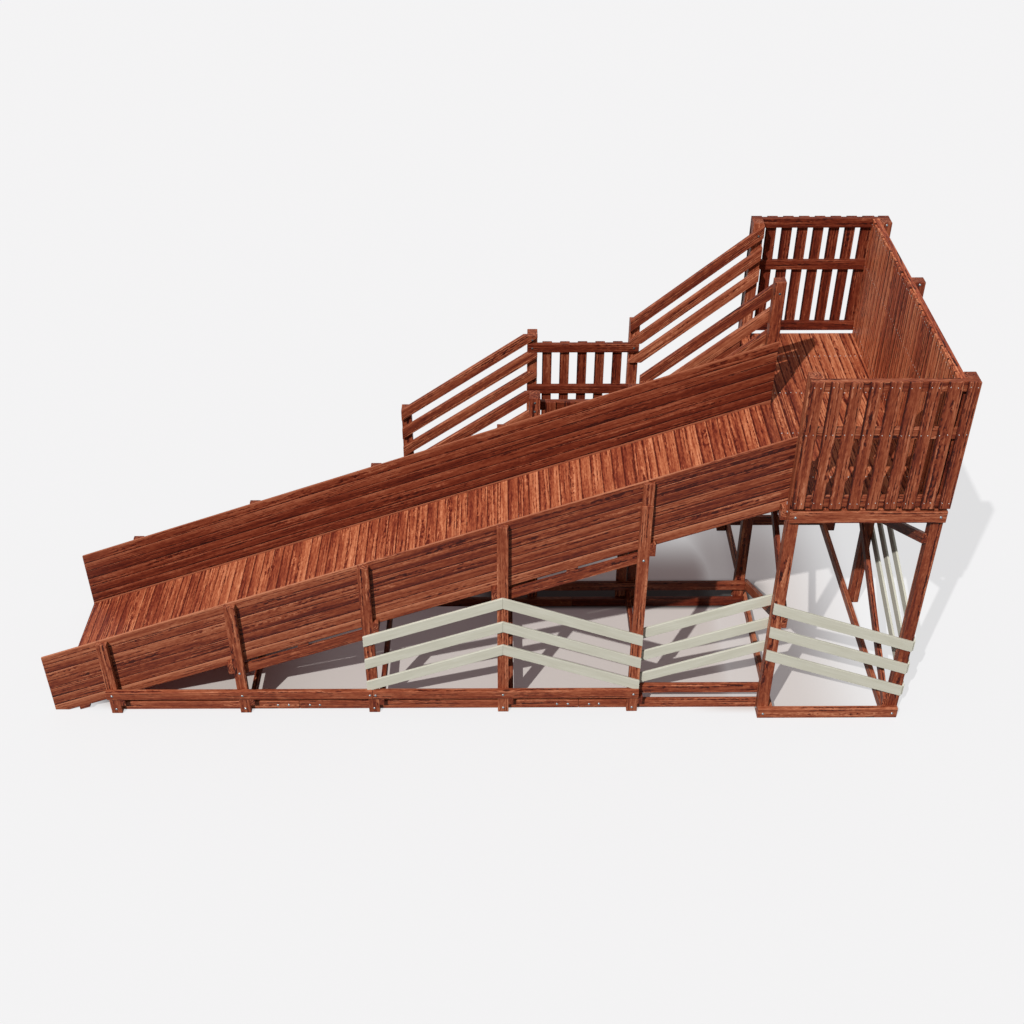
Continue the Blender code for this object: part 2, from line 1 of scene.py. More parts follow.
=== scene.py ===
"""The looks of a timber toboggan slide: stained boards, painted rails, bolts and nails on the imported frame.

Sizes are metres in the slide's own layout, which starts at the front left foot of the chute: X runs up the
chute, Y runs from the front side to the stair side and Z rises from the ground. SHIFT carries every piece from
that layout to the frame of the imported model.
"""

import json
import logging
import math
from dataclasses import dataclass, field
from enum import Enum

import bmesh
import bpy
import numpy as np
from mathutils import Matrix, Vector

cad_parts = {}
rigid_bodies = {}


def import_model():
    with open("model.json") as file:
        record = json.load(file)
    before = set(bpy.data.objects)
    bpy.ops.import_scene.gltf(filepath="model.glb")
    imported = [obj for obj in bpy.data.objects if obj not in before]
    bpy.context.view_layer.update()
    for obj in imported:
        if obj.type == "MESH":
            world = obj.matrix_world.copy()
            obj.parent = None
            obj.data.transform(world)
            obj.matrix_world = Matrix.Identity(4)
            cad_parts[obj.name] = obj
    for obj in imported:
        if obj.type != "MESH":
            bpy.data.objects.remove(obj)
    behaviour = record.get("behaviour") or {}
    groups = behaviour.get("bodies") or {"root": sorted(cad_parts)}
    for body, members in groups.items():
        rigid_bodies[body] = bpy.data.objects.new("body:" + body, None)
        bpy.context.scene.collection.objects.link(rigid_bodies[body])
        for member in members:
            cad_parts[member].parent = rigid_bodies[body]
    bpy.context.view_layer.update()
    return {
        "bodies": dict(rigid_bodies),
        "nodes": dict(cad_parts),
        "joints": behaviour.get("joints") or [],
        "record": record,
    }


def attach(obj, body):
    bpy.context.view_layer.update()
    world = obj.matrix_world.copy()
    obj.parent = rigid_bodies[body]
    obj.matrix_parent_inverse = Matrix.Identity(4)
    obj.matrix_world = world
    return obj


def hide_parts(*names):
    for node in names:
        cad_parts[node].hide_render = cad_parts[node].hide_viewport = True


LOG = logging.getLogger("toboggan_slide")

Span = tuple[float, float]
Colour = tuple[float, float, float]
Outline = list[tuple[float, float]]
Face = tuple[int, ...]

SHIFT = np.array((-3.395, -1.395, 0.0))
HAIR = 0.0003  # how far pieces that rest on each other stand apart
BITE = 0.002  # how far pieces of one assembly run into each other
CRISP, FINE, NEAT, PLANED = 0.002, 0.0025, 0.0028, 0.003  # how far arrises are eased
SOFT, SAWN, ROUNDED = 0.0035, 0.004, 0.005  # the same, of rougher pieces
POST = 0.10
PLANK = 0.045
RAIL = 0.095
BLACK = (0.0, 0.0, 0.0)
LAYERS = {"grain": "FLOAT_VECTOR", "tone": "FLOAT", "arris": "FLOAT", "across": "FLOAT"}


class Fibre(Enum):
    """The way that the fibres of a sawn piece run."""

    ALONG = 0
    ACROSS = 1
    UPRIGHT = 2


ALONG, ACROSS, UPRIGHT = Fibre


class Slot(Enum):
    """Material slots of the record."""

    TIMBER = "stained_timber"
    PAINT = "pale_paint"


class Turned(Enum):
    """The way that the round face of a bolt or nail looks."""

    FRONT = (0.0, -1.0, 0.0)
    BACK = (0.0, 1.0, 0.0)
    LEFT = (-1.0, 0.0, 0.0)
    RIGHT = (1.0, 0.0, 0.0)
    UP = (0.0, 0.0, 1.0)


def span(start: float, length: float) -> Span:
    """The span of a length from its start."""
    return (start, start + length)


def inset(whole: Span, gap: float) -> Span:
    """A span, shortened at both ends."""
    return (whole[0] + gap, whole[1] - gap)


def centred(middle: float, width: float) -> Span:
    """The span of a width about its middle."""
    return (middle - width / 2, middle + width / 2)


def quarters(whole: Span) -> Span:
    """The places at a quarter and at three quarters of a span."""
    return tuple(whole[0] + (whole[1] - whole[0]) * share for share in (0.25, 0.75))


def boards(start: float, stop: float, width: float) -> list[Span]:
    """Divide a length into equal boards of about one width."""
    count = round((stop - start) / width)
    pitch = (stop - start) / count
    return [(start + pitch * number, start + pitch * (number + 1)) for number in range(count)]


def clip(outline: Outline, floor: float | None = None, roof: float | None = None) -> Outline:
    """Cut a convex outline level.

    Args:
        outline: Its corners as distance and height.
        floor: The height below which it is cut away.
        roof: The height above which it is cut away.

    Returns:
        The corners that are left.
    """
    for level, sign in ((floor, 1.0), (roof, -1.0)):
        if level is None:
            continue
        kept = []
        for (a, h), (b, k) in zip(outline, outline[1:] + outline[:1]):
            inside, following = sign * (h - level) >= 0, sign * (k - level) >= 0
            if inside:
                kept.append((a, h))
            if inside != following:
                kept.append((a + (b - a) * (level - h) / (k - h), level))
        outline = kept
    return outline


def slanted(run: Span, low: float, high: float, slope: float) -> Outline:
    """The outline of a plumb-cut slanted piece, from the heights of its lines at distance 0."""
    start, end = run
    corners = ((start, low), (end, low), (end, high), (start, high))
    return [(place, line + slope * place) for place, line in corners]


class Reading:
    """A socket of a material's tree; sums with it are laid out as nodes."""

    def __init__(self, bench: "NodeBench", socket: bpy.types.NodeSocket) -> None:
        """Note the bench and the socket."""
        self.bench, self.socket = bench, socket

    def __add__(self, other: object) -> "Reading":
        """Add a number or a reading."""
        return self.bench.maths("ADD", self, other)

    def __sub__(self, other: object) -> "Reading":
        """Take a number or a reading away."""
        return self.bench.maths("SUBTRACT", self, other)

    def __mul__(self, other: object) -> "Reading":
        """Multiply by a number or a reading."""
        return self.bench.maths("MULTIPLY", self, other)

    def __truediv__(self, other: object) -> "Reading":
        """Divide by a number or a reading."""
        return self.bench.maths("DIVIDE", self, other)


@dataclass(frozen=True)
class Noise:
    """A noise: its stretch along, across and through, its octaves, their share and its weight in a sum."""

    stretch: Colour
    octaves: float
    rough: float = 0.6
    weight: float = 0.0


class NodeBench:
    """A bench on which the nodes of one material are laid out and wired."""

    def __init__(self, name: str) -> None:
        """Open a new material."""
        self.material = bpy.data.materials.new(name)
        self.material.use_nodes = True
        self.tree = self.material.node_tree
        self.shader = self.tree.nodes["Principled BSDF"]

    def add(self, kind: str, *values: object, **settings: object) -> bpy.types.Node:
        """Add a node.

        Args:
            kind: The node's type name.
            values: Numbers or readings for its first inputs.
            settings: Its properties.

        Returns:
            The new node.
        """
        node = self.tree.nodes.new(kind)
        for key, value in settings.items():
            setattr(node, key, value)
        for target, value in zip(node.inputs, values):
            self.feed(target, value)
        return node

    def feed(self, target: bpy.types.NodeSocket, value: object) -> None:
        """Set an input to a value, or wire a reading to it."""
        if isinstance(value, Reading):
            self.tree.links.new(value.socket, target)
        else:
            target.default_value = value

    def coat(self, name: str, value: object) -> None:
        """Feed an input of the shader."""
        self.feed(self.shader.inputs[name], value)

    def read(self, node: bpy.types.Node, output: object = 0) -> Reading:
        """Read an output of a node."""
        return Reading(self, node.outputs[output])

    def maths(self, operation: str, first: object, second: object = 0.0) -> Reading:
        """Do one sum, by its node name."""
        return self.read(self.add("ShaderNodeMath", first, second, operation=operation))

    def split(self, vector: Reading) -> list[Reading]:
        """Take a vector's three numbers."""
        return [Reading(self, socket) for socket in self.add("ShaderNodeSeparateXYZ", vector).outputs]

    def stretch(self, vector: Reading, scale: Colour) -> Reading:
        """Scale a vector differently along each axis."""
        return self.read(self.add("ShaderNodeVectorMath", vector, scale, operation="MULTIPLY"))

    def noise(self, vector: Reading, noise: Noise) -> Reading:
        """Lay a noise over a vector."""
        node = self.add("ShaderNodeTexNoise", self.stretch(vector, noise.stretch), noise_dimensions="3D")
        for name, value in (("Scale", 1.0), ("Detail", noise.octaves), ("Roughness", noise.rough)):
            node.inputs[name].default_value = value
        return self.read(node, "Fac")

    def ease(self, value: Reading, low: float, high: float, start: float = 0.0, end: float = 1.0) -> Reading:
        """Map the range from low to high smoothly on to the one from start to end."""
        node = self.add("ShaderNodeMapRange", value, low, high, start, end, interpolation_type="SMOOTHSTEP")
        return self.read(node)

    def ramp(self, value: Reading, places: tuple[float, ...], colours: tuple[Colour, ...]) -> Reading:
        """Turn a value into a colour.

        Args:
            value: The value, from 0 to 1.
            places: Places on the ramp.
            colours: The colour at each place.

        Returns:
            The colour.
        """
        node = self.add("ShaderNodeValToRGB", value)
        elements = node.color_ramp.elements
        while len(elements) < len(places):
            elements.new(0.5)
        for element, place, colour in zip(elements, places, colours):
            element.position = place
            element.color = (*colour, 1.0)
        return self.read(node)

    def blend(self, share: object, first: object, second: object) -> Reading:
        """Blend two colours; the share is how much of the second shows."""
        node = self.add("ShaderNodeMix", data_type="RGBA", blend_type="MIX")
        for place, value in ((0, share), (6, first), (7, second)):
            self.feed(node.inputs[place], (*value, 1.0) if isinstance(value, tuple) else value)
        return self.read(node, 2)

    def layer(self, name: str, output: str = "Fac") -> Reading:
        """Read a named layer of the mesh."""
        node = self.add("ShaderNodeAttribute", attribute_name=name, attribute_type="GEOMETRY")
        return self.read(node, output)

    def bump(self, height: Reading, strength: float, distance: float) -> None:
        """Raise the surface by a height."""
        node = self.add("ShaderNodeBump")
        for name, value in (("Strength", strength), ("Distance", distance), ("Height", height)):
            self.feed(node.inputs[name], value)
        self.coat("Normal", self.read(node))


@dataclass(frozen=True)
class StainedTimber:
    """Sawn softwood under a translucent red-brown stain, with growth rings and knots; painted light over one
    half of each board and along its edge, painted shade along its other edge, and lighter arrises for wear and
    a painted highlight.
    """

    name: str
    contrast: float
    # joint sets how strong the painted light over each board and the painted shade along its other edge are
    joint: float
    spread: float
    pitch_dark: Colour
    deep: Colour
    middle: Colour
    light: Colour
    bright: Colour

    PLACES = (0.02, 0.26, 0.50, 0.72, 0.98)
    FIBRE = Noise((7.0, 260.0, 260.0), 3.0, weight=0.30)
    STRAND = Noise((1.6, 34.0, 34.0), 3.0, weight=0.95)
    FLECK = Noise((20.0, 80.0, 80.0), 2.0, weight=0.60)
    PATCH = Noise((2.4, 15.0, 15.0), 2.0, 0.5, weight=0.35)
    DASH = Noise((17.0, 42.0, 42.0), 1.0, 0.5)
    WANDER = Noise((0.9, 7.0, 7.0), 1.0, 0.5, weight=0.040)
    JAG = Noise((34.0, 30.0, 30.0), 2.0, weight=0.0096)
    RING = 0.021
    FINE_RINGS = 3.37
    MEAN = 0.53
    GLINT = 0.46
    LATE_WOOD = 0.70
    FINE_WOOD = 0.07
    ROUGHNESS = 0.46
    DASHES = (0.44, 0.56)
    STRONG = (0.43, 0.61, 0.06, 1.0)
    LATE = ((0.56, 0.80), (1.0, 0.95))
    EARLY = ((0.02, 0.08), (0.36, 0.10))
    FINE_BAND = ((0.35, 0.85), (1.0, 0.90))
    # painted light over one half of each board and along its edge, and painted shade along its other edge, as
    # if the rounded arrises caught the light
    PAINTED_LIGHT_EDGES = ((0.00, 0.95, 0.24), (0.965, 0.995, 0.42))
    PAINTED_SHADE_EDGE = (-0.62, -0.97, 0.95)
    KNOT = 0.80
    KNOT_CELLS = (2.2, 9.0, 5.0)
    KNOT_CHOICE = (0.84, 0.87)
    KNOT_CORE = (0.10, 0.04)
    KNOT_SWELL = (0.42, 0.02)
    BEND = 0.016
    TAPER = 0.004

    def make(self) -> bpy.types.Material:
        """Lay out the nodes.

        Returns:
            The finished material.
        """
        bench = NodeBench(self.name)
        ease = bench.ease
        grain = bench.layer("grain", "Vector")
        tone, arris, across = (bench.layer(name) for name in ("tone", "arris", "across"))
        knots, swell = self._knots(bench, grain)
        phase = self._rings(bench, grain, swell)
        saw, fine = bench.maths("FRACT", phase), bench.maths("FRACT", phase * self.FINE_RINGS)
        dash = ease(bench.noise(grain, self.DASH), *self.DASHES)
        patch, strand, fibre = (bench.noise(grain, noise) for noise in (self.PATCH, self.STRAND, self.FIBRE))
        strong = ease(patch, *self.STRONG)
        dark = self._band(bench, saw, self.LATE) * strong * ease(dash, 0.0, 1.0, 0.28, 1.0)
        glint = self._band(bench, saw, self.EARLY) * strong * ease(dash, 0.0, 1.0, 1.0, 0.15)
        fine = self._band(bench, fine, self.FINE_BAND)
        value = glint * (self.GLINT * self.contrast) + self.MEAN
        value = value - dark * (self.LATE_WOOD * self.contrast) - fine * (self.FINE_WOOD * self.contrast)
        fleck = bench.noise(grain, self.FLECK)
        weighted = ((fibre, self.FIBRE.weight), (strand, self.STRAND.weight), (fleck, self.FLECK.weight))
        for part, weight in (*weighted, (patch, self.PATCH.weight), (tone, self.spread)):
            value = value + (part - 0.5) * weight
        # painted light and painted shade across each board
        for start, stop, depth in self.PAINTED_LIGHT_EDGES:
            value = value + ease(across, start, stop, 0.0, depth * self.joint)
        start, stop, depth = self.PAINTED_SHADE_EDGE
        value = value - ease(across, start, stop, 0.0, depth * self.joint) * ease(dash, 0.0, 1.0, 0.5, 1.0)
        stain = (self.pitch_dark, self.deep, self.middle, self.light, self.bright)
        shade = bench.blend(knots * self.KNOT, bench.ramp(value, self.PLACES, stain), self.pitch_dark)
        # the arrises are painted lighter: wear, and a painted highlight
        wear_and_highlight = ease(strand, 0.35, 0.65) * (arris * 0.12)
        bench.coat("Base Color", bench.blend(wear_and_highlight, shade, self.bright))
        bench.coat("Roughness", (fibre - 0.5) * 0.30 + self.ROUGHNESS)
        bench.coat("Specular IOR Level", 0.20)
        bench.bump(fibre * 0.55 - dark * 0.55, 0.45, 0.0014)
        return bench.material

    def _band(self, bench: NodeBench, value: Reading, band: tuple[Span, Span]) -> Reading:
        """Pick out the values between the band's rise and its fall."""
        return bench.ease(value, *band[0]) * bench.ease(value, *band[1])

    def _knots(self, bench: NodeBench, grain: Reading) -> tuple[Reading, Reading]:
        """Scatter knots over the timber.

        Args:
            bench: The bench of this material.
            grain: The timber's own coordinates.

        Returns:
            How much of a knot a point has, and how far the rings bend round it.
        """
        cells = bench.add("ShaderNodeTexVoronoi", bench.stretch(grain, self.KNOT_CELLS), feature="F1")
        cells.inputs["Scale"].default_value = 1.0
        chosen = bench.ease(bench.split(bench.read(cells, "Color"))[0], *self.KNOT_CHOICE)
        away = bench.read(cells, "Distance")
        return bench.ease(away, *self.KNOT_CORE) * chosen, bench.ease(away, *self.KNOT_SWELL) * chosen

    def _rings(self, bench: NodeBench, grain: Reading, swell: Reading) -> Reading:
        """Count the growth rings from the heart of the log.

        Args:
            bench: The bench of this material.
            grain: The timber's own coordinates.
            swell: How far the rings bend round a knot.

        Returns:
            The number of rings between the heart and a point.
        """
        along, across, through = bench.split(grain)
        radius = bench.maths("SQRT", across * across + through * through)
        for noise in (self.WANDER, self.JAG):
            radius = radius + (bench.noise(grain, noise) - 0.5) * noise.weight
        return (radius + swell * self.BEND + along * self.TAPER) / self.RING


@dataclass(frozen=True)
class PalePaint:
    """Opaque sage paint, brushed along the boards, with the wood's fibre showing through."""

    name: str = "pale_paint"
    thin: Colour = (0.440, 0.424, 0.340)
    coat: Colour = (0.500, 0.482, 0.395)
    chalk: Colour = (0.575, 0.560, 0.480)
    roughness: float = 0.42

    BRUSH = Noise((5.0, 190.0, 190.0), 3.0, weight=0.55)
    CLOUD = Noise((3.0, 16.0, 16.0), 3.0, weight=0.45)

    def make(self) -> bpy.types.Material:
        """Lay out the nodes.

        Returns:
            The finished material.
        """
        bench = NodeBench(self.name)
        grain = bench.layer("grain", "Vector")
        brush, cloud = bench.noise(grain, self.BRUSH), bench.noise(grain, self.CLOUD)
        mixed = brush * self.BRUSH.weight + cloud * self.CLOUD.weight
        shade = bench.ramp(mixed, (0.30, 0.50, 0.72), (self.thin, self.coat, self.chalk))
        # the arrises are blended towards chalk: wear, and a painted highlight
        bench.coat("Base Color", bench.blend(bench.layer("arris") * 0.35, shade, self.chalk))
        bench.coat("Roughness", cloud * 0.2 + self.roughness)
        bench.bump(brush, 0.30, 0.0008)
        return bench.material


@dataclass(frozen=True)
class ZincPlate:
    """Zinc-plated steel, a little dull and mottled."""

    name: str
    bright: Colour
    dull: Colour
    roughness: float

    MOTTLE = Noise((240.0, 240.0, 240.0), 3.0)

    def make(self) -> bpy.types.Material:
        """Lay out the nodes.

        Returns:
            The finished material.
        """
        bench = NodeBench(self.name)
        mottle = bench.noise(bench.read(bench.add("ShaderNodeTexCoord"), "Object"), self.MOTTLE)
        bench.coat("Base Color", bench.ramp(mottle, (0.35, 0.60), (self.dull, self.bright)))
        bench.coat("Roughness", bench.ease(mottle, 0.3, 0.7, self.roughness + 0.14, self.roughness))
        bench.coat("Metallic", 0.75)
        bench.bump(mottle, 0.25, 0.0004)
        return bench.material


class Finish(Enum):
    """The finishes; a stain has its contrast, the strength of its painted light and shade across each board,
    spread of tones and five colours, dark to bright.
    """

    TIMBER = StainedTimber(
        "stained_timber", 1.0, 0.50, 0.28, (0.028, 0.0048, 0.0036),
        (0.088, 0.0135, 0.0078), (0.186, 0.0385, 0.0160), (0.300, 0.086, 0.040), (0.460, 0.170, 0.088),
    )
    BOARDS = StainedTimber(
        "stained_floor_boards", 0.72, 0.55, 0.28, (0.070, 0.0085, 0.0050),
        (0.122, 0.0170, 0.0085), (0.275, 0.0605, 0.0250), (0.440, 0.139, 0.062), (0.580, 0.222, 0.114),
    )
    DECK = StainedTimber(
        "stained_deck_boards", 0.85, 0.60, 0.28, (0.060, 0.0075, 0.0045),
        (0.125, 0.0200, 0.0102), (0.290, 0.0700, 0.0290), (0.430, 0.140, 0.063), (0.580, 0.228, 0.118),
    )
    WALL = StainedTimber(
        "stained_wall_boards", 1.05, 0.80, 0.34, (0.028, 0.0048, 0.0036),
        (0.138, 0.0205, 0.0102), (0.330, 0.0720, 0.0290), (0.465, 0.142, 0.062), (0.560, 0.218, 0.112),
    )
    SIDES = StainedTimber(
        "stained_side_boards", 0.80, 0.75, 0.28, (0.034, 0.0052, 0.0038),
        (0.086, 0.0130, 0.0074), (0.182, 0.0375, 0.0155), (0.275, 0.0780, 0.0360), (0.390, 0.1400, 0.0720),
    )
    SLATS = StainedTimber(
        "stained_slats", 0.95, 0.60, 0.12, (0.028, 0.0048, 0.0036),
        (0.088, 0.0134, 0.0074), (0.186, 0.0380, 0.0156), (0.290, 0.0815, 0.0370), (0.410, 0.1450, 0.0760),
    )
    FAIR = StainedTimber(
        "stained_fair_timber", 0.90, 0.50, 0.10, (0.028, 0.0048, 0.0036),
        (0.098, 0.0155, 0.0088), (0.205, 0.0435, 0.0180), (0.320, 0.0920, 0.0420), (0.450, 0.1640, 0.0860),
    )
    # a darker copy of the stain: painted shade for the back side boards, the back rails, the back slat panel
    # and the landing's guards
    SHADED_STAIN = StainedTimber(
        "stained_boards_painted_shade", 0.80, 0.80, 0.28, (0.022, 0.0036, 0.0026),
        (0.054, 0.0066, 0.0034), (0.116, 0.0178, 0.0070), (0.182, 0.0390, 0.0165), (0.280, 0.0850, 0.0410),
    )
    PAINT = PalePaint()
    ZINC = ZincPlate("zinc_plate", (0.40, 0.46, 0.48), (0.17, 0.20, 0.21), 0.34)
    DULL_ZINC = ZincPlate("dull_zinc", (0.11, 0.12, 0.12), (0.04, 0.045, 0.045), 0.5)
    NAIL = ZincPlate("nail_heads", (0.78, 0.76, 0.72), (0.50, 0.48, 0.45), 0.5)


@dataclass(frozen=True)
class Patch:
    """A stretch of floor under the slide: its spans, how softly each side ends and how deep its painted shade
    is.
    """

    x: Span
    y: Span
    left: float
    right: float
    front: float
    back: float
    depth: float

    def cover(self, bench: NodeBench, x: Reading, y: Reading) -> Reading:
        """How far a point of the floor lies inside, up to the depth."""
        sides = ((x, self.x, self.left, self.right), (y, self.y, self.front, self.back))
        rises = [bench.ease(place, low, low + start) for place, (low, _), start, _ in sides]
        falls = [bench.ease(place, high, high - stop) for place, (_, high), _, stop in sides]
        return rises[0] * falls[0] * (rises[1] * falls[1]) * self.depth


@dataclass(frozen=True)
class PaleFloor:
    """A pale studio floor that glows for the camera in the open, with painted shade where the slide stands
    over it.
    """

    name: str = "studio_floor"
    # in the open the floor is lifted to an even white by its glow; under the slide it glows far less, which
    # paints shade there
    open_colour: Colour = (0.165, 0.163, 0.162)
    under_colour: Colour = (0.450, 0.415, 0.382)
    open_glow: Colour = (0.680, 0.678, 0.685)
    under_glow: Colour = (0.088, 0.062, 0.066)
    # the glow near the chute's low end: painted deeper shade
    low_end_shade_glow: Colour = (0.022, 0.0, 0.0)
    bounce: float = 0.12
    gloss: float = 0.45
    # where the painted shade under the slide lies
    patches: tuple[Patch, ...] = (
        Patch((0.2, 6.25), (0.02, 3.1), 0.5, 0.6, 0.16, 1.1, 1.0),
        Patch((5.3, 7.45), (-0.05, 4.2), 0.6, 1.1, 0.12, 2.0, 0.80),
        Patch((-0.35, 1.2), (0.02, 1.35), 0.45, 0.4, 0.16, 0.3, 1.0),
    )
    # a painted contact shadow on the floor behind the back rails
    painted_contact_shadow: Patch = Patch((3.1, 6.5), (1.42, 1.95), 0.5, 0.4, 0.07, 0.16, 0.90)
    # painted deeper shade towards the chute's low end
    low: Patch = Patch((-0.35, 2.3), (0.02, 1.4), 0.45, 1.2, 0.16, 0.3, 1.0)
    # painted shade on the floor seen through the slit under the front wall
    deep: Patch = Patch((1.0, 6.0), (0.3, 1.6), 0.3, 0.5, 0.1, 0.1, 0.85)
    deep_start: float = 0.2
    deep_way: Span = (0.49, 0.55)

    def make(self) -> bpy.types.Material:
        """Lay out the nodes; the deep patch paints shade on the floor seen through the slit under the front
        wall.

        Returns:
            The finished material.
        """
        bench = NodeBench(self.name)
        x, y, _ = bench.split(bench.read(bench.add("ShaderNodeTexCoord"), "Object"))
        x, y = x - SHIFT[0], y - SHIFT[1]
        # painted shade under the slide
        under: object = 0.0
        for patch in self.patches:
            under = bench.maths("MAXIMUM", under, patch.cover(bench, x, y))
        # painted shade only where the floor is seen through the slit under the front wall
        steep = bench.ease(y / (x + self.deep_start), *self.deep_way)
        deep = steep * self.deep.cover(bench, x, y)
        painted_contact_shadow = bench.maths("MAXIMUM", self.painted_contact_shadow.cover(bench, x, y), deep)
        colour = bench.blend(painted_contact_shadow, bench.blend(under, self.open_colour, self.under_colour), BLACK)
        shade = bench.blend(self.low.cover(bench, x, y), self.under_glow, self.low_end_shade_glow)
        # the floor glows for camera rays and, more weakly, in reflections, though it is no lamp; its colour
        # for diffuse rays is dimmed, so it bounces less light
        rays = bench.add("ShaderNodeLightPath")
        kinds = ("Camera", "Diffuse", "Glossy")
        camera, diffuse, glossy = (bench.read(rays, f"Is {kind} Ray") for kind in kinds)
        dimmed = bench.ease(diffuse, 0.0, 1.0, 1.0, self.bounce)
        bench.coat("Base Color", bench.blend(dimmed, BLACK, colour))
        bench.coat("Emission Color", bench.blend(painted_contact_shadow, bench.blend(under, self.open_glow, shade), BLACK))
        bench.coat("Emission Strength", camera + glossy * self.gloss)
        bench.coat("Roughness", 0.9)
        bench.coat("Specular IOR Level", 0.0)
        return bench.material


class EasedBox:
    """The form that every straight stick is scaled from: a box whose edges are rounded in two steps."""

    EASE = 0.2

    def __init__(self) -> None:
        """Round a cube and note each point's corner and its way out from that corner's centre."""
        form = bmesh.new()
        bmesh.ops.create_cube(form, size=2.0)
        edges = list(form.edges)
        bmesh.ops.bevel(form, geom=edges, offset=self.EASE, segments=2, profile=0.5, affect="EDGES")
        form.verts.index_update()
        points = np.array([v.co for v in form.verts])
        self.faces = [tuple(v.index for v in f.verts) for f in form.faces]
        form.free()
        self.corner = np.sign(points)
        self.way = (points - self.corner * (1.0 - self.EASE)) / self.EASE
        # points on the eased arrises, where wear and a painted highlight are laid
        self.wear_and_highlight = (np.count_nonzero(np.abs(self.way) > 0.05, axis=1) > 1).astype(float)


class Workshop:
    """Where sticks are cut, dressed and set in the frame."""

    SEED = 20

    def __init__(self) -> None:
        """Set out the tools and mix the finishes."""
        self.box = EasedBox()
        self.chance = np.random.default_rng(self.SEED)
        self.finishes = {finish: finish.value.make() for finish in Finish}
        self.pieces = 0

    def lot(self, low: float, high: float) -> float:
        """Draw a number from the seeded lot."""
        return float(self.chance.uniform(low, high))

    def lay(self, name: str, points: np.ndarray, faces: list[Face], finish: Finish,
            smooth: bool) -> bpy.types.Object:
        """Turn points of the layout into an object that rides on the root.

        Args:
            name: The object's name.
            points: Its points.
            faces: Its faces.
            finish: Its finish.
            smooth: Whether its four-sided faces are shaded smooth.

        Returns:
            The object.
        """
        mesh = bpy.data.meshes.new(name)
        mesh.from_pydata((points + SHIFT).tolist(), [], faces)
        mesh.polygons.foreach_set("use_smooth", [smooth and len(face) == 4 for face in faces])
        mesh.materials.append(self.finishes[finish])
        mesh.update()
        piece = bpy.data.objects.new(name, mesh)
        bpy.context.scene.collection.objects.link(piece)
        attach(piece, "root")
        self.pieces += 1
        LOG.info("%s: %d faces", name, len(faces))
        return piece


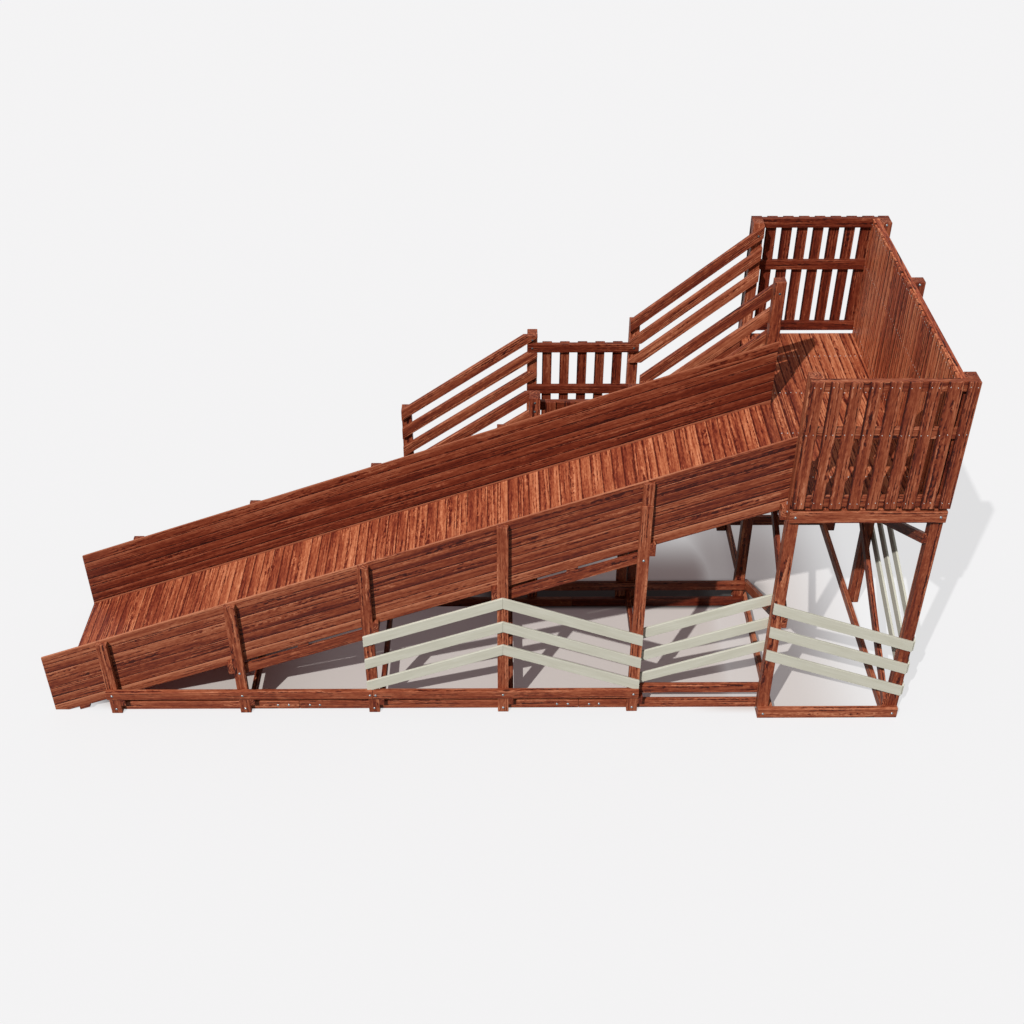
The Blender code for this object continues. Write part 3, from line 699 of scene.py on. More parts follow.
@dataclass
class Assembly:
    """The sticks of one node, gathered into one mesh."""

    shop: Workshop
    name: str
    points: list[np.ndarray] = field(default_factory=list)
    faces: list[Face] = field(default_factory=list)
    layers: dict[str, list[np.ndarray]] = field(default_factory=lambda: {name: [] for name in LAYERS})
    count: int = 0

    def _keep(self, points: np.ndarray, faces: list[Face], rest: np.ndarray, fibre: Fibre, wear_and_highlight: np.ndarray,
              size: np.ndarray) -> None:
        """Add one piece's mesh and lay its timber's coordinates.

        Args:
            points: The piece's points in the layout.
            faces: Its faces.
            rest: Its points before any slope, measured from its middle.
            fibre: The way of its fibres.
            wear_and_highlight: 1 on its eased arrises and 0 elsewhere.
            size: Its size along each axis.
        """
        lot = self.shop.lot
        others = [axis for axis in range(3) if axis != fibre.value]
        wide, thin = sorted(others, key=lambda axis: -size[axis])
        heart_across = lot(-0.55, 0.55) * size[wide]
        heart_below = size[thin] / 2 + lot(0.003, 0.034)
        if size[wide] < 1.3 * size[thin]:
            heart_across = lot(-0.3, 0.3) * size[wide]
            heart_below = lot(0.1, 0.45) * size[thin]
        side = 1.0 if lot(0.0, 1.0) > 0.5 else -1.0
        along = rest[:, fibre.value] + lot(0.0, 60.0)
        # how strongly the painted light and shade across the board are laid: full on boards, less on thicker
        # pieces, none on square ones
        flat = 1.0 if size[wide] > 3.0 * size[thin] else 0.55 if size[wide] > 1.6 * size[thin] else 0.0
        coordinates = (along, rest[:, wide] - heart_across, rest[:, thin] + side * heart_below)
        tone = np.full(len(points), lot(0.0, 1.0))
        values = (np.stack(coordinates, axis=1), tone, wear_and_highlight, flat * rest[:, wide] / (size[wide] / 2))
        for name, value in zip(LAYERS, values):
            self.layers[name].append(value)
        self.points.append(points)
        self.faces.extend(tuple(self.count + index for index in face) for face in faces)
        self.count += len(points)

    def stick(self, x: Span, y: Span, z: Span, fibre: Fibre, arris: float = PLANED, slope: float = 0.0,
              lean: float = 0.0) -> None:
        """Cut a straight stick and add it.

        Args:
            x: Its span along X.
            y: Its span along Y.
            z: Its span along Z, at its middle.
            fibre: The way of its fibres.
            arris: How far its arrises are eased.
            slope: How it climbs along X.
            lean: How it climbs along Y.
        """
        box = self.shop.box
        spans = np.array((x, y, z))
        size = spans[:, 1] - spans[:, 0]
        ease = min(arris, float(size.min()) * 0.3)
        rest = box.corner * (size / 2 - ease) + box.way * ease
        points = rest + spans.mean(axis=1)
        points[:, 2] += slope * rest[:, 0] + lean * rest[:, 1]
        self._keep(points, box.faces, rest, fibre, box.wear_and_highlight, size)

    def along_x(self, x: Span, y: Span, low: float, high: float, slope: float, arris: float = PLANED) -> None:
        """Add a stick that climbs along X, given the heights of its lower and upper lines at X = 0."""
        middle = slope * (x[0] + x[1]) / 2
        self.stick(x, y, (low + middle, high + middle), ALONG, arris, slope=slope)

    def along_y(self, x: Span, y: Span, low: float, high: float, lean: float) -> None:
        """Add a stick that climbs along Y, given the heights of its lower and upper lines at Y = 0."""
        middle = lean * (y[0] + y[1]) / 2
        self.stick(x, y, (low + middle, high + middle), ACROSS, lean=lean)

    def prism(self, outline: Outline, through: Span, slope: float, arris: float = PLANED,
              fibre: Fibre = ALONG) -> None:
        """Add a flat piece with a free outline.

        Args:
            outline: Corners as distance along the fibre's level axis and height.
            through: The piece's span along the other level axis.
            slope: How the timber's length climbs.
            arris: How far the arrises are eased.
            fibre: ALONG for an outline over X, ACROSS for one over Y.
        """
        level, other = (0, 1) if fibre is ALONG else (1, 0)
        corners = np.zeros((len(outline), 3))
        corners[:, (level, 2)] = outline
        corners[:, other] = through[0]
        offset = np.zeros(3)
        offset[other] = through[1] - through[0]
        form = bmesh.new()
        face = form.faces.new([form.verts.new(corner) for corner in corners])
        pushed = bmesh.ops.extrude_face_region(form, geom=[face])["geom"]
        bmesh.ops.translate(form, vec=offset, verts=[v for v in pushed if isinstance(v, bmesh.types.BMVert)])
        bmesh.ops.recalc_face_normals(form, faces=form.faces)
        made = bmesh.ops.bevel(
            form, geom=list(form.edges), offset=arris, segments=2, profile=0.5, affect="EDGES",
            clamp_overlap=True,
        )["faces"]
        form.verts.index_update()
        wear_and_highlight = np.array([float(all(f in made for f in v.link_faces)) for v in form.verts])
        points = np.array([v.co for v in form.verts])
        faces = [tuple(v.index for v in f.verts) for f in form.faces]
        form.free()
        rest = points - points.mean(axis=0)
        rest[:, 2] -= slope * rest[:, level]
        self._keep(points, faces, rest, fibre, wear_and_highlight, rest.max(axis=0) - rest.min(axis=0))

    def set(self, finish: Finish = Finish.TIMBER) -> None:
        """Turn the gathered sticks into an object that stands for the node of the same name."""
        points = np.concatenate(self.points)
        piece = self.shop.lay(f"{self.name}_sticks", points, self.faces, finish, smooth=False)
        for name, kind in LAYERS.items():
            layer = piece.data.attributes.new(name, kind, "POINT")
            values = np.concatenate(self.layers[name]).ravel()
            layer.data.foreach_set("vector" if kind == "FLOAT_VECTOR" else "value", values)
        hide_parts(self.name)


@dataclass
class Section:
    """A part of the slide that the workshop builds."""

    shop: Workshop

    def piece(self, name: str) -> Assembly:
        """Start the sticks of one node."""
        return Assembly(self.shop, name)


@dataclass
class Chute(Section):
    """The sloping chute: boarded floor and sides, beams, bearers and five trestles."""

    slope: float = math.tan(math.radians(20.0))
    bay: float = 1.2
    post_depth: float = 0.05
    width: float = 1.585
    foot: float = -0.54
    head: float = 6.0097
    board: float = 0.02
    floor_top: float = 0.2325
    floor_thickness: float = 0.0234
    floor_pitch: float = 0.0963
    wall_bottom: float = 0.150
    wall_top: float = 0.853
    wall_boards: int = 7
    deck: float = 2.4203
    bearer_height: float = 0.13
    bearer_width: float = 0.05
    beam_start: float = -0.2097
    rebate: float = 0.03
    joist_top: float = 0.104
    joist_bottom: float = -0.008
    lip: float = 0.020
    spacer: float = 0.10
    clear: float = 0.0023
    drop: float = 0.0012
    recess: float = 0.0010
    butt: float = 0.0006
    seam: float = 0.0002
    relief: float = 0.001
    step: float = 0.014
    split_cut: Span = (0.008, 0.007)
    ground_beam: Span = (0.0953, 0.19)
    last_reach: float = 1.5347
    notch: Span = (0.0974, 0.1456)
    foot_run: Span = (-0.31, -0.21)
    split_height: float = 2.395

    def __post_init__(self) -> None:
        """Work out the lines that the pieces share."""
        self.under = self.floor_top - self.floor_thickness
        self.inner = self.post_depth + self.board + 2 * HAIR

    def build(self) -> None:
        """Cut and set every piece of the chute."""
        self._floor()
        self._beams()
        face = (self.post_depth + HAIR, self.post_depth + HAIR + self.board)
        self._wall("chute_wall_front", face, Finish.SIDES, ((2, 4), (1, 3)))
        self._wall("chute_wall_back", self.on("back", face), Finish.SHADED_STAIN, ((), ()))
        for number in range(5):
            self._trestle(number)
        head = self.piece("chute_head_bearer")
        self._bearer(head, 5)
        head.set()
        self._foot_bearer()

    def on(self, side: str, across: Span) -> Span:
        """A span that is measured from the front side, or from the stair side for the back."""
        return (self.width - across[1], self.width - across[0]) if side == "back" else across

    def at(self, x: float, height: float) -> float:
        """The height of a line of the chute at X, from its height at X = 0."""
        return height + self.slope * x

    def bearer(self, number: int) -> tuple[Span, float]:
        """Where a cross bearer lies along X, and its top."""
        left = self.bay * number
        start, bite = (left - self.bearer_width, BITE) if number in (1, 3) else (left + POST, -BITE)
        if number == 5:
            start, bite = self.head - self.bearer_width, 0.0
        return span(start + bite, self.bearer_width), self.at(start - BITE, self.under) - HAIR

    def _floor(self) -> None:
        """Lay the floor boards across the chute, each a hair low of the next."""
        floor = self.piece("chute_floor")
        for board in boards(self.foot, self.head, self.floor_pitch):
            x = inset(board, HAIR)
            drop = self.shop.lot(0.0, self.drop)
            middle = self.slope * (x[0] + x[1]) / 2
            z = (self.under + middle, self.floor_top + middle - drop)
            floor.stick(x, (self.inner, self.width - self.inner), z, ACROSS, slope=self.slope)
        floor.set(Finish.BOARDS)

    def _beams(self) -> None:
        """Set the three beams below the floor, with the joists and spacers of the two braced bays."""
        edge = span(self.inner, PLANK)
        joist = (self.post_depth + HAIR, self.post_depth + PLANK)
        spacer = (self.post_depth + BITE, edge[0] + self.relief)
        top, low = self.under - HAIR, self.ground_beam[1] + HAIR
        housed = [(self.notch[0], low), (self.notch[1], low), *slanted(self.notch, 0.0, top, self.slope)[2:]]
        for side in ("front", "middle", "back"):
            beam = self.piece(f"chute_beam_{side}")
            y = centred(self.width / 2, PLANK) if side == "middle" else self.on(side, edge)
            for run in ((self.beam_start, self.notch[0]), (self.notch[1], self.head)):
                if side == "middle":
                    beam.along_x(run, y, self.joist_top, top, self.slope, SAWN)
                    continue
                beam.along_x(run, y, self.wall_bottom, top, self.slope, SAWN)
                rebated = self.on(side, (edge[0] + self.rebate, edge[1]))
                beam.along_x(run, rebated, self.joist_top, self.wall_bottom + BITE, self.slope, CRISP)
            beam.prism(housed, y, self.slope, CRISP)
            for bay in (1, 3) if side != "middle" else ():
                x = inset((self.bay * bay, self.bay * (bay + 1) + POST), self.clear)
                short = centred((x[0] + x[1]) / 2, self.spacer)
                for run, across, bottom, head, arris in (
                    (x, joist, self.joist_bottom, self.joist_top - self.step, SAWN),
                    (x, span(joist[0], self.lip), self.joist_top - self.lip, self.joist_top + BITE, PLANED),
                    (short, spacer, self.joist_top, self.wall_bottom - HAIR, CRISP),
                ):
                    beam.along_x(run, self.on(side, across), bottom, head, self.slope, arris)
            beam.set()

    def _wall(self, name: str, y: Span, finish: Finish, butts: tuple[tuple[int, ...], ...]) -> None:
        """Board one side; the lowest board is notched over the bearers.

        Args:
            name: The node's name.
            y: The plane that the boards lie in.
            finish: Their finish.
            butts: The trestles at which the even and the odd rows are butted.
        """
        wall = self.piece(name)
        pitch = (self.wall_top - self.wall_bottom) / self.wall_boards
        end = self.head + POST
        for row in range(1, self.wall_boards):
            low = self.wall_bottom + pitch * row
            joints = [self.foot, *(self.bay * number + POST / 2 for number in butts[row % 2]), end]
            for run in zip(joints, joints[1:]):
                x, plane = inset(run, self.butt), inset(y, self.shop.lot(0.0, self.recess))
                if row == 1 and run[1] == end:
                    bottom, top = inset((low, low + pitch), self.relief)
                    wall.prism(clip(slanted(x, bottom, top, self.slope), floor=0.0), plane, self.slope)
                else:
                    wall.along_x(x, plane, *inset((low, low + pitch), self.seam), self.slope, NEAT)
        wall.prism(self._lowest_board(pitch, end), y, self.slope, FINE)
        wall.set(finish)

    def _lowest_board(self, pitch: float, end: float) -> Outline:
        """The outline of the lowest board: level at the ground, notched over what passes below it.

        Args:
            pitch: The plumb height of one board.
            end: Where the boards end on the deck.

        Returns:
            The corners as distance and height.
        """
        bottom, top = self.wall_bottom, self.wall_bottom + pitch - self.relief
        corners = [(self.foot, 0.0), (-bottom / self.slope, 0.0)]
        notches = [(self.notch, self.ground_beam[1] + HAIR)]
        for run, ledge in (self.bearer(number) for number in range(1, 6)):
            notches.append((inset(run, -self.clear), ledge + 2 * HAIR))
        for (start, stop), ledge in notches:
            corners += [(start, self.at(start, bottom)), (start, ledge)]
            corners += [(stop, ledge), (stop, self.at(stop, bottom))]
        corners[-2:] = [(self.head, ledge), (self.head, self.deck), (end, self.deck)]
        return corners + [(end, self.at(end, top)), (self.foot, self.at(self.foot, top))]

    def _bearer(self, piece: Assembly, number: int) -> None:
        """Add a cross bearer: one length below the beams and four housed between them."""
        x, top = self.bearer(number)
        low = self.at(x[0], self.joist_top) - 2 * HAIR
        piece.stick(x, (0.0, self.width), (top - self.bearer_height, low), ACROSS, SAWN)
        rooms = ((0.0, self.inner - HAIR), (self.inner + PLANK + HAIR, (self.width - PLANK) / 2 - HAIR))
        for side in ("front", "back"):
            for room in rooms:
                piece.stick(x, self.on(side, room), (low, top), ACROSS, CRISP)

    def _trestle(self, number: int) -> None:
        """Stand two posts, the beam between their feet and the bearer for the floor."""
        trestle = self.piece(f"trestle_{number + 1}")
        left = self.bay * number
        x, top = span(left, POST), self.at(left + POST / 4, self.wall_top)
        for side in ("front", "back"):
            y = self.on(side, (0.0, self.post_depth))
            if number == 4 and side == "front":
                trestle.stick(x, y, (0.0, self.split_height), UPRIGHT, SAWN)
                slim = ((x[0] + self.split_cut[0], x[1]), (y[0] + self.split_cut[1], y[1]))
                trestle.stick(*slim, (self.split_height, top), UPRIGHT, SAWN)
            else:
                trestle.stick(x, y, (0.0, top), UPRIGHT, SAWN)
        reach = (0.0, self.width if number < 4 else self.last_reach)
        trestle.stick(span(x[1], PLANK), reach, self.ground_beam, ACROSS, SAWN)
        if number > 0:
            self._bearer(trestle, number)
        trestle.set()

    def _foot_bearer(self) -> None:
        """Lay the bearer below the foot of the chute, at the chute's slope."""
        foot = self.piece("foot_bearer")
        low = -self.slope * self.foot_run[0]
        side, inside = (self.post_depth, self.inner), (self.inner, self.width - self.inner)
        lengths = ((side, self.wall_bottom), (inside, self.under), (self.on("back", side), self.wall_bottom))
        for y, high in lengths:
            outline = clip(slanted(self.foot_run, low, high - HAIR, self.slope), floor=0.0)
            foot.prism(outline, y, self.slope, CRISP)
        foot.set()


@dataclass
class GroundRails(Section):
    """Rails along both sides of the chute, low on the ground and higher over it."""

    front: Span = (0.0503, 0.095)
    back: Span = (1.49, 1.5347)
    face: Span = (-0.045, -0.0003)
    end: float = 6.11
    splices: Span = (1.745, 4.355)
    high_front: float = 0.216
    high_back: float = 0.210
    bay_rail: float = 0.1903
    butt: float = 0.0006

    def build(self) -> None:
        """Cut and set the rails, butted where the real ones are spliced."""
        joints = (0.0, *self.splices, self.end)
        for name, y, low, ends in (
            ("low_rail_front", self.front, 0.0, joints),
            ("low_rail_back", self.back, 0.0, joints),
            ("high_rail_front", self.face, self.high_front, (0.0, 2.45, 4.9)),
            ("high_rail_back", self.back, self.high_back, (1.2, 3.65, self.end)),
            ("high_rail_tower_bay", self.front, self.bay_rail, (4.8, self.end)),
        ):
            rail = self.piece(name)
            starts = (ends[0], *(end + self.butt for end in ends[1:-1]))
            stops = (*(end - self.butt for end in ends[1:-1]), ends[-1])
            for x in zip(starts, stops):
                rail.stick(x, y, span(low, RAIL), ALONG, ROUNDED)
            # the back rails take the darker stain: painted shade
            rail.set(Finish.SHADED_STAIN if y is self.back else Finish.FAIR)


@dataclass
class Tower(Section):
    """The start tower: posts, frames, deck, open slat panels, the boarded right side and the braces."""

    left: float = 6.01
    width: float = 1.30
    height: float = 3.65
    rows: tuple[float, ...] = (-0.05, 1.535, 2.74)
    deck_top: float = 2.42
    deck_thickness: float = 0.022
    deck_board: float = 0.10
    overrun: float = 0.008
    beam_height: float = 0.115
    beam_top: float = 2.40
    side_beam: float = 0.12
    ledgers: tuple[float, ...] = (2.455, 3.12, 3.555)
    slat_bottom: float = 2.443
    slats: int = 9
    slat_width: float = 0.10
    slat_depth: float = 0.02
    wider: float = 0.014
    gap: float = 0.0008
    drop: float = 0.0010
    sliver: float = 0.004
    ragged: float = 0.014
    recess: float = 0.0012
    seam: float = 0.0001
    mitre: float = 0.001
    joists: tuple[float, ...] = (0.376, 1.050, 1.724, 2.398)
    wall_board: float = 0.0996
    joint: float = 1.141
    brace: float = 0.105
    left_braces: tuple[Span, Span] = ((1.108, -0.565), (1.17, 0.56))
    right_braces: tuple[Span, Span] = ((0.18, 0.56), (2.06, -0.56))

    def __post_init__(self) -> None:
        """Work out the planes that the pieces share."""
        self.right = self.left + self.width
        self.depth = (self.rows[0], self.rows[2] + POST)
        self.front = (self.depth[0] - PLANK, self.depth[0] - HAIR)
        self.back = (self.depth[1] + HAIR, self.depth[1] + PLANK)
        self.near = (self.left + POST + HAIR, self.left + POST + PLANK)
        self.far = (self.right - POST - PLANK, self.right - POST - HAIR)
        self.under = self.deck_top - self.deck_thickness - HAIR
        self.slat_pitch = (self.width - self.slat_width) / (self.slats - 1)

    def build(self) -> None:
        """Cut and set every piece of the tower."""
        for row, y in zip(("front", "middle", "back"), self.rows):
            for side, x in (("left", self.left), ("right", self.right - POST)):
                post = self.piece(f"tower_post_{row}_{side}")
                post.stick(span(x, POST), span(y, POST), (0.0, self.height), UPRIGHT, ROUNDED)
                post.set()
        self._frame("tower_base_frame", (0.0, self.beam_height), (0.0, RAIL), ROUNDED, ())
        beams = (self.beam_top - self.beam_height, self.beam_top)
        self._frame("platform_frame", beams, (self.under - self.side_beam, self.under), SAWN, self.joists)
        self._deck()
        outside = (self.front[0] - self.slat_depth, self.front[0])
        self._slat_panel("slat_panel_front", self.front, outside, Finish.SLATS)
        self._slat_panel("slat_panel_back", self.back, span(self.back[1], self.slat_depth), Finish.SHADED_STAIN)
        self._board_wall()
        self._braces("braces_left", self.near, self.left_braces)
        self._braces("braces_right", self.far, self.right_braces)

    def _frame(self, name: str, beam: Span, tie: Span, arris: float, joists: tuple[float, ...]) -> None:
        """Set two beams along X, two ties between them and the joists.

        Args:
            name: The node's name.
            beam: The beams' span along Z.
            tie: The ties' span along Z.
            arris: How far the ties' arrises are eased.
            joists: The joists' middle lines along Y.
        """
        frame = self.piece(name)
        for y in (self.front, self.back):
            frame.stick((self.left, self.right), y, beam, ALONG, ROUNDED)
        for x in (self.near, self.far):
            frame.stick(x, self.depth, tie, ACROSS, arris)
        for centre in joists:
            run = (self.near[1], self.far[0])
            frame.stick(run, centred(centre, PLANK), (self.under - RAIL, self.under), ALONG, SAWN)
        frame.set()

    def _deck(self) -> None:
        """Lay the deck boards, cut short round the posts on the open side."""
        deck = self.piece("platform_deck")
        run, inner = inset(self.depth, -self.overrun), self.near[0]
        rooms = [(row + POST + HAIR, after - HAIR) for row, after in zip(self.rows, self.rows[1:])]
        for board in boards(self.left, self.far[1], self.deck_board):
            x = inset(board, self.gap)
            z = (self.deck_top - self.deck_thickness, self.deck_top - self.shop.lot(0.0, self.drop))
            if x[0] > inner:
                deck.stick(x, run, z, ACROSS, FINE)
                continue
            for y in rooms:
                deck.stick((x[0], min(x[1], inner)), y, z, ACROSS, SOFT)
            if x[1] > inner + self.sliver:
                deck.stick((inner, x[1]), run, z, ACROSS, CRISP)
        deck.set(Finish.DECK)

    def _slat_panel(self, name: str, ledger: Span, slat: Span, finish: Finish) -> None:
        """Nail upright slats on three ledgers, with gaps between them.

        Args:
            name: The node's name.
            ledger: The ledgers' span along Y.
            slat: The slats' span along Y.
            finish: Their finish.
        """
        panel = self.piece(name)
        for low in self.ledgers:
            panel.stick((self.left, self.right), ledger, span(low, RAIL), ALONG, SAWN)
        for number in range(self.slats):
            wide = self.slat_width + (self.wider if number == self.slats - 2 else 0.0)
            x = span(self.left + self.slat_pitch * number, wide)
            panel.stick(x, slat, (self.slat_bottom, self.height), UPRIGHT, SOFT)
        panel.set(finish)

    def _board_wall(self) -> None:
        """Close the right side with upright boards set edge to edge inside three rails."""
        wall = self.piece("board_wall_right")
        for low in self.ledgers:
            wall.stick(self.far, self.depth, span(low, RAIL), ACROSS, SAWN)
        for board in boards(*self.depth, self.wall_board):
            top = self.height - self.shop.lot(0.0, self.ragged)
            x = (self.far[0] - self.slat_depth + self.shop.lot(0.0, self.recess), self.far[0])
            wall.stick(x, inset(board, self.seam), (self.deck_top + HAIR, top), UPRIGHT, SAWN)
        wall.set(Finish.WALL)

    def _braces(self, name: str, x: Span, lines: tuple[Span, Span]) -> None:
        """Set a pair of braces that meet on a post.

        Args:
            name: The node's name.
            x: The plane that they lie in.
            lines: For each brace, the height of its middle line at Y = 0 and its climb.
        """
        pair = self.piece(name)
        run = (self.depth[0], self.rows[1] + POST)
        roof = self.under - self.side_beam - HAIR
        cuts = ((None, self.joint), (self.joint + self.mitre, roof))
        for (height, climb), (low, high) in zip(lines, cuts):
            outline = slanted(run, height - self.brace / 2, height + self.brace / 2, climb)
            pair.prism(clip(outline, floor=low, roof=high), x, climb, SAWN, ACROSS)
        pair.set()


@dataclass
class Stair(Section):
    """Two flights with a landing between them, their railings and the landing's guards."""

    near_face: float = 1.635
    far_face: float = 2.74
    rise: float = 2.42 / 12
    landing_left: float = 3.90
    landing_right: float = 5.044
    landing_board: float = 0.0953
    thickness: float = 0.022
    beam: float = 0.115
    lower_going: float = 0.288
    upper_going: float = 0.2415
    stringer: float = 0.28
    nosing: float = 0.02
    tread: float = 0.04
    tower: float = 6.01
    foot_newel: Span = (2.61, 1.60)
    left_newel: Span = (3.90, 2.48)
    right_newel: Span = (4.91, 2.61)
    rail_pitch: float = 0.225
    lower_rail: tuple[float, ...] = (0.70, 3.30, 2.088, 0.122)
    upper_rail: tuple[float, ...] = (0.835, 5.50, 3.135, 0.130)
    lower_roof: float = 2.06
    upper_floors: Span = (2.3857, 2.17)
    guard_rails: tuple[float, ...] = (1.44, 1.812, 2.29)
    guard_slat: Span = (1.45, 2.387)
    guard_pitch: float = 0.1755
    guard_slats: int = 5
    guard_start: float = 0.05
    gap: float = 0.0008
    drop: float = 0.001
    slat_depth: float = 0.02

    def build(self) -> None:
        """Cut and set every piece of the stair."""
        start = self.landing_left - 6 * self.lower_going
        level = 7 * self.rise
        self._flight("stair_flight_lower", (start, self.landing_left - HAIR), self.lower_going, 6, 0.0)
        run = (self.landing_right, self.tower - HAIR)
        self._flight("stair_flight_upper", run, self.upper_going, 4, level)
        self._landing(level)
        for side in ("near", "far"):
            newels, end = (self.foot_newel, self.left_newel), self.landing_left + POST
            roofs = (self.left_newel[1], self.guard_rails[2] - HAIR, self.lower_roof)
            limits = [(None, roof) for roof in roofs]
            self._railing(f"railing_lower_{side}", side, newels, end, self.lower_rail, limits)
            limits = [(floor, None) for floor in (None, *self.upper_floors)]
            newels, end = (self.right_newel,), self.tower + POST
            self._railing(f"railing_upper_{side}", side, newels, end, self.upper_rail, limits)
            self._guard(side)

    def plane(self, side: str, clear: float) -> Span:
        """The span in Y of the boards on one side, clear of its newels' inner faces."""
        if side == "near":
            return (self.near_face + clear, self.near_face + PLANK)
        return (self.far_face - PLANK, self.far_face - clear)

    def _flight(self, name: str, run: Span, going: float, treads: int, level: float) -> None:
        """Set two stringers and the treads between them.

        Args:
            name: The node's name.
            run: Its span along X.
            going: The depth of one step.
            treads: How many treads it has.
            level: The height that it starts from.
        """
        flight = self.piece(name)
        slope = self.rise / going
        line = level + self.rise - slope * run[0] + self.nosing
        near, far = (self.plane(side, 2 * HAIR + BITE) for side in ("near", "far"))
        for y in (near, far):
            flight.prism(clip(slanted(run, line - self.stringer, line, slope), floor=0.0), y, slope, SAWN)
        for number in range(treads):
            start = run[0] + going * number
            end = run[1] if number == treads - 1 else run[0] + going * (number + 1) + self.nosing
            top, middle = level + self.rise * (number + 1), (start + end) / 2
            for x in ((start, middle - BITE), (middle + BITE, end)):
                flight.stick(x, (near[1], far[0]), (top - self.tread, top), ACROSS, SAWN)
        flight.set()

    def _landing(self, level: float) -> None:
        """Board the landing on its joists and edge beams."""
        landing = self.piece("landing")
        x = inset((self.landing_left, self.landing_right), HAIR)
        y = inset((self.near_face, self.far_face), 2 * HAIR + BITE)
        under = (level - self.thickness - self.beam, level - self.thickness)
        for start in (x[0], (x[0] + x[1] - PLANK) / 2, x[1] - PLANK):
            landing.stick(span(start, PLANK), inset(y, PLANK), under, ACROSS, SAWN)
        for start in (y[0], y[1] - PLANK):
            landing.stick(x, span(start, PLANK), under, ALONG, SAWN)
        for board in boards(*x, self.landing_board):
            z = (level - self.thickness, level - self.shop.lot(0.0, self.drop))
            landing.stick(inset(board, self.gap), y, z, ACROSS, SOFT)
        landing.set()

    def _railing(self, name: str, side: str, newels: tuple[Span, ...], end: float, line: tuple[float, ...],
                 limits: list[tuple[float | None, float | None]]) -> None:
        """Fix three parallel rails to their newels.

        Args:
            name: The node's name.
            side: The side of the stair.
            newels: For each newel, its left face and its top.
            end: Where the rails end along X.
            line: Climb, a place along X, the top rail's height there and the rails' plumb depth.
            limits: For each rail, the heights below and above which it is cut away.
        """
        railing = self.piece(name)
        slope, place, height, depth = line
        near, far = (self.near_face - POST, self.near_face), (self.far_face, self.far_face + POST)
        y = near if side == "near" else far
        for start, top in newels:
            railing.stick(span(start, POST), y, (0.0, top), UPRIGHT, ROUNDED)
        for row, (floor, roof) in enumerate(limits):
            high = height - slope * place - self.rail_pitch * row
            outline = clip(slanted((newels[0][0], end), high - depth, high, slope), floor=floor, roof=roof)
            railing.prism(outline, self.plane(side, HAIR), slope, SAWN)
        railing.set()

    def _guard(self, side: str) -> None:
        """Fix the landing's level rails and its upright slats."""
        guard = self.piece(f"landing_guard_{side}")
        plane = self.plane(side, 2 * HAIR + BITE)
        left, right = self.left_newel[0], self.right_newel[0] + POST
        for low in self.guard_rails:
            guard.stick((left, right), plane, span(low, RAIL), ALONG, SAWN)
        y = (plane[0] - self.slat_depth, plane[0]) if side == "near" else span(plane[1], self.slat_depth)
        for number in range(self.guard_slats):
            x = span(left + POST + self.guard_start + self.guard_pitch * number, RAIL)
            guard.stick(x, y, self.guard_slat, UPRIGHT, SOFT)
        guard.set(Finish.SHADED_STAIN)


@dataclass
class PaleRails(Section):
    """Three rows of sage rails in each panel below the chute and round the tower."""

    rows: int = 3
    pitch: float = 0.275
    depth: float = 0.117
    slope: float = 0.36
    tower_slope: float = 0.352
    peak: Span = (3.65, 1.41)
    chute_run: Span = (2.4, 4.9)
    bay_run: Span = (4.85, 6.11)
    bay_start: float = 0.985
    tower_start: float = 1.38
    ridge: float = 1.585
    mitre: float = 0.0004
    seat: float = 0.3113
    front: Span = (-0.02, -0.0003)
    behind: Span = (0.0503, 0.0703)
    tower_front: Span = (-0.07, -0.0503)
    tower_side: Span = (7.3103, 7.33)
    tower_edges: tuple[float, ...] = (6.01, 1.30, 2.84)

    def build(self) -> None:
        """Cut and set the nine rows."""
        for row in range(self.rows):
            drop = self.pitch * row
            self._chute_row(row, drop)
            bay = self.piece(f"pale_rail_tower_bay_{row + 1}")
            high = self.bay_start - drop - self.slope * self.chute_run[1]
            bay.along_x(self.bay_run, self.behind, high - self.depth, high, self.slope)
            bay.set(Finish.PAINT)
            self._tower_row(row, drop)

    def _chute_row(self, row: int, drop: float) -> None:
        """Set one row over the trestles, mitred plumb at its peak and seated on the high rail."""
        rail = self.piece(f"pale_rail_chute_{row + 1}")
        middle, peak = self.peak
        halves = ((self.chute_run[0], middle - self.mitre), (middle + self.mitre, self.chute_run[1]))
        for run, slope in zip(halves, (self.slope, -self.slope)):
            high = peak - drop - slope * middle
            outline = slanted(run, high - self.depth, high, slope)
            rail.prism(clip(outline, floor=self.seat if row == 2 else None), self.front, slope)
        rail.set(Finish.PAINT)

    def _tower_row(self, row: int, drop: float) -> None:
        """Set one row across the tower's front and along its right side."""
        rail = self.piece(f"pale_rail_tower_{row + 1}")
        left, width, back = self.tower_edges
        climb, start = self.tower_slope, self.tower_start - drop
        high = start + climb * left
        rail.along_x((left, self.tower_side[0] - HAIR), self.tower_front, high - self.depth, high, -climb)
        corner = start - climb * width + climb * 0.05
        near, far = (self.tower_front[1], self.ridge - self.mitre), (self.ridge + self.mitre, back)
        rail.along_y(self.tower_side, near, corner - self.depth, corner, climb)
        corner += 2 * climb * self.ridge
        rail.along_y(self.tower_side, far, corner - self.depth, corner, -climb)
        rail.set(Finish.PAINT)


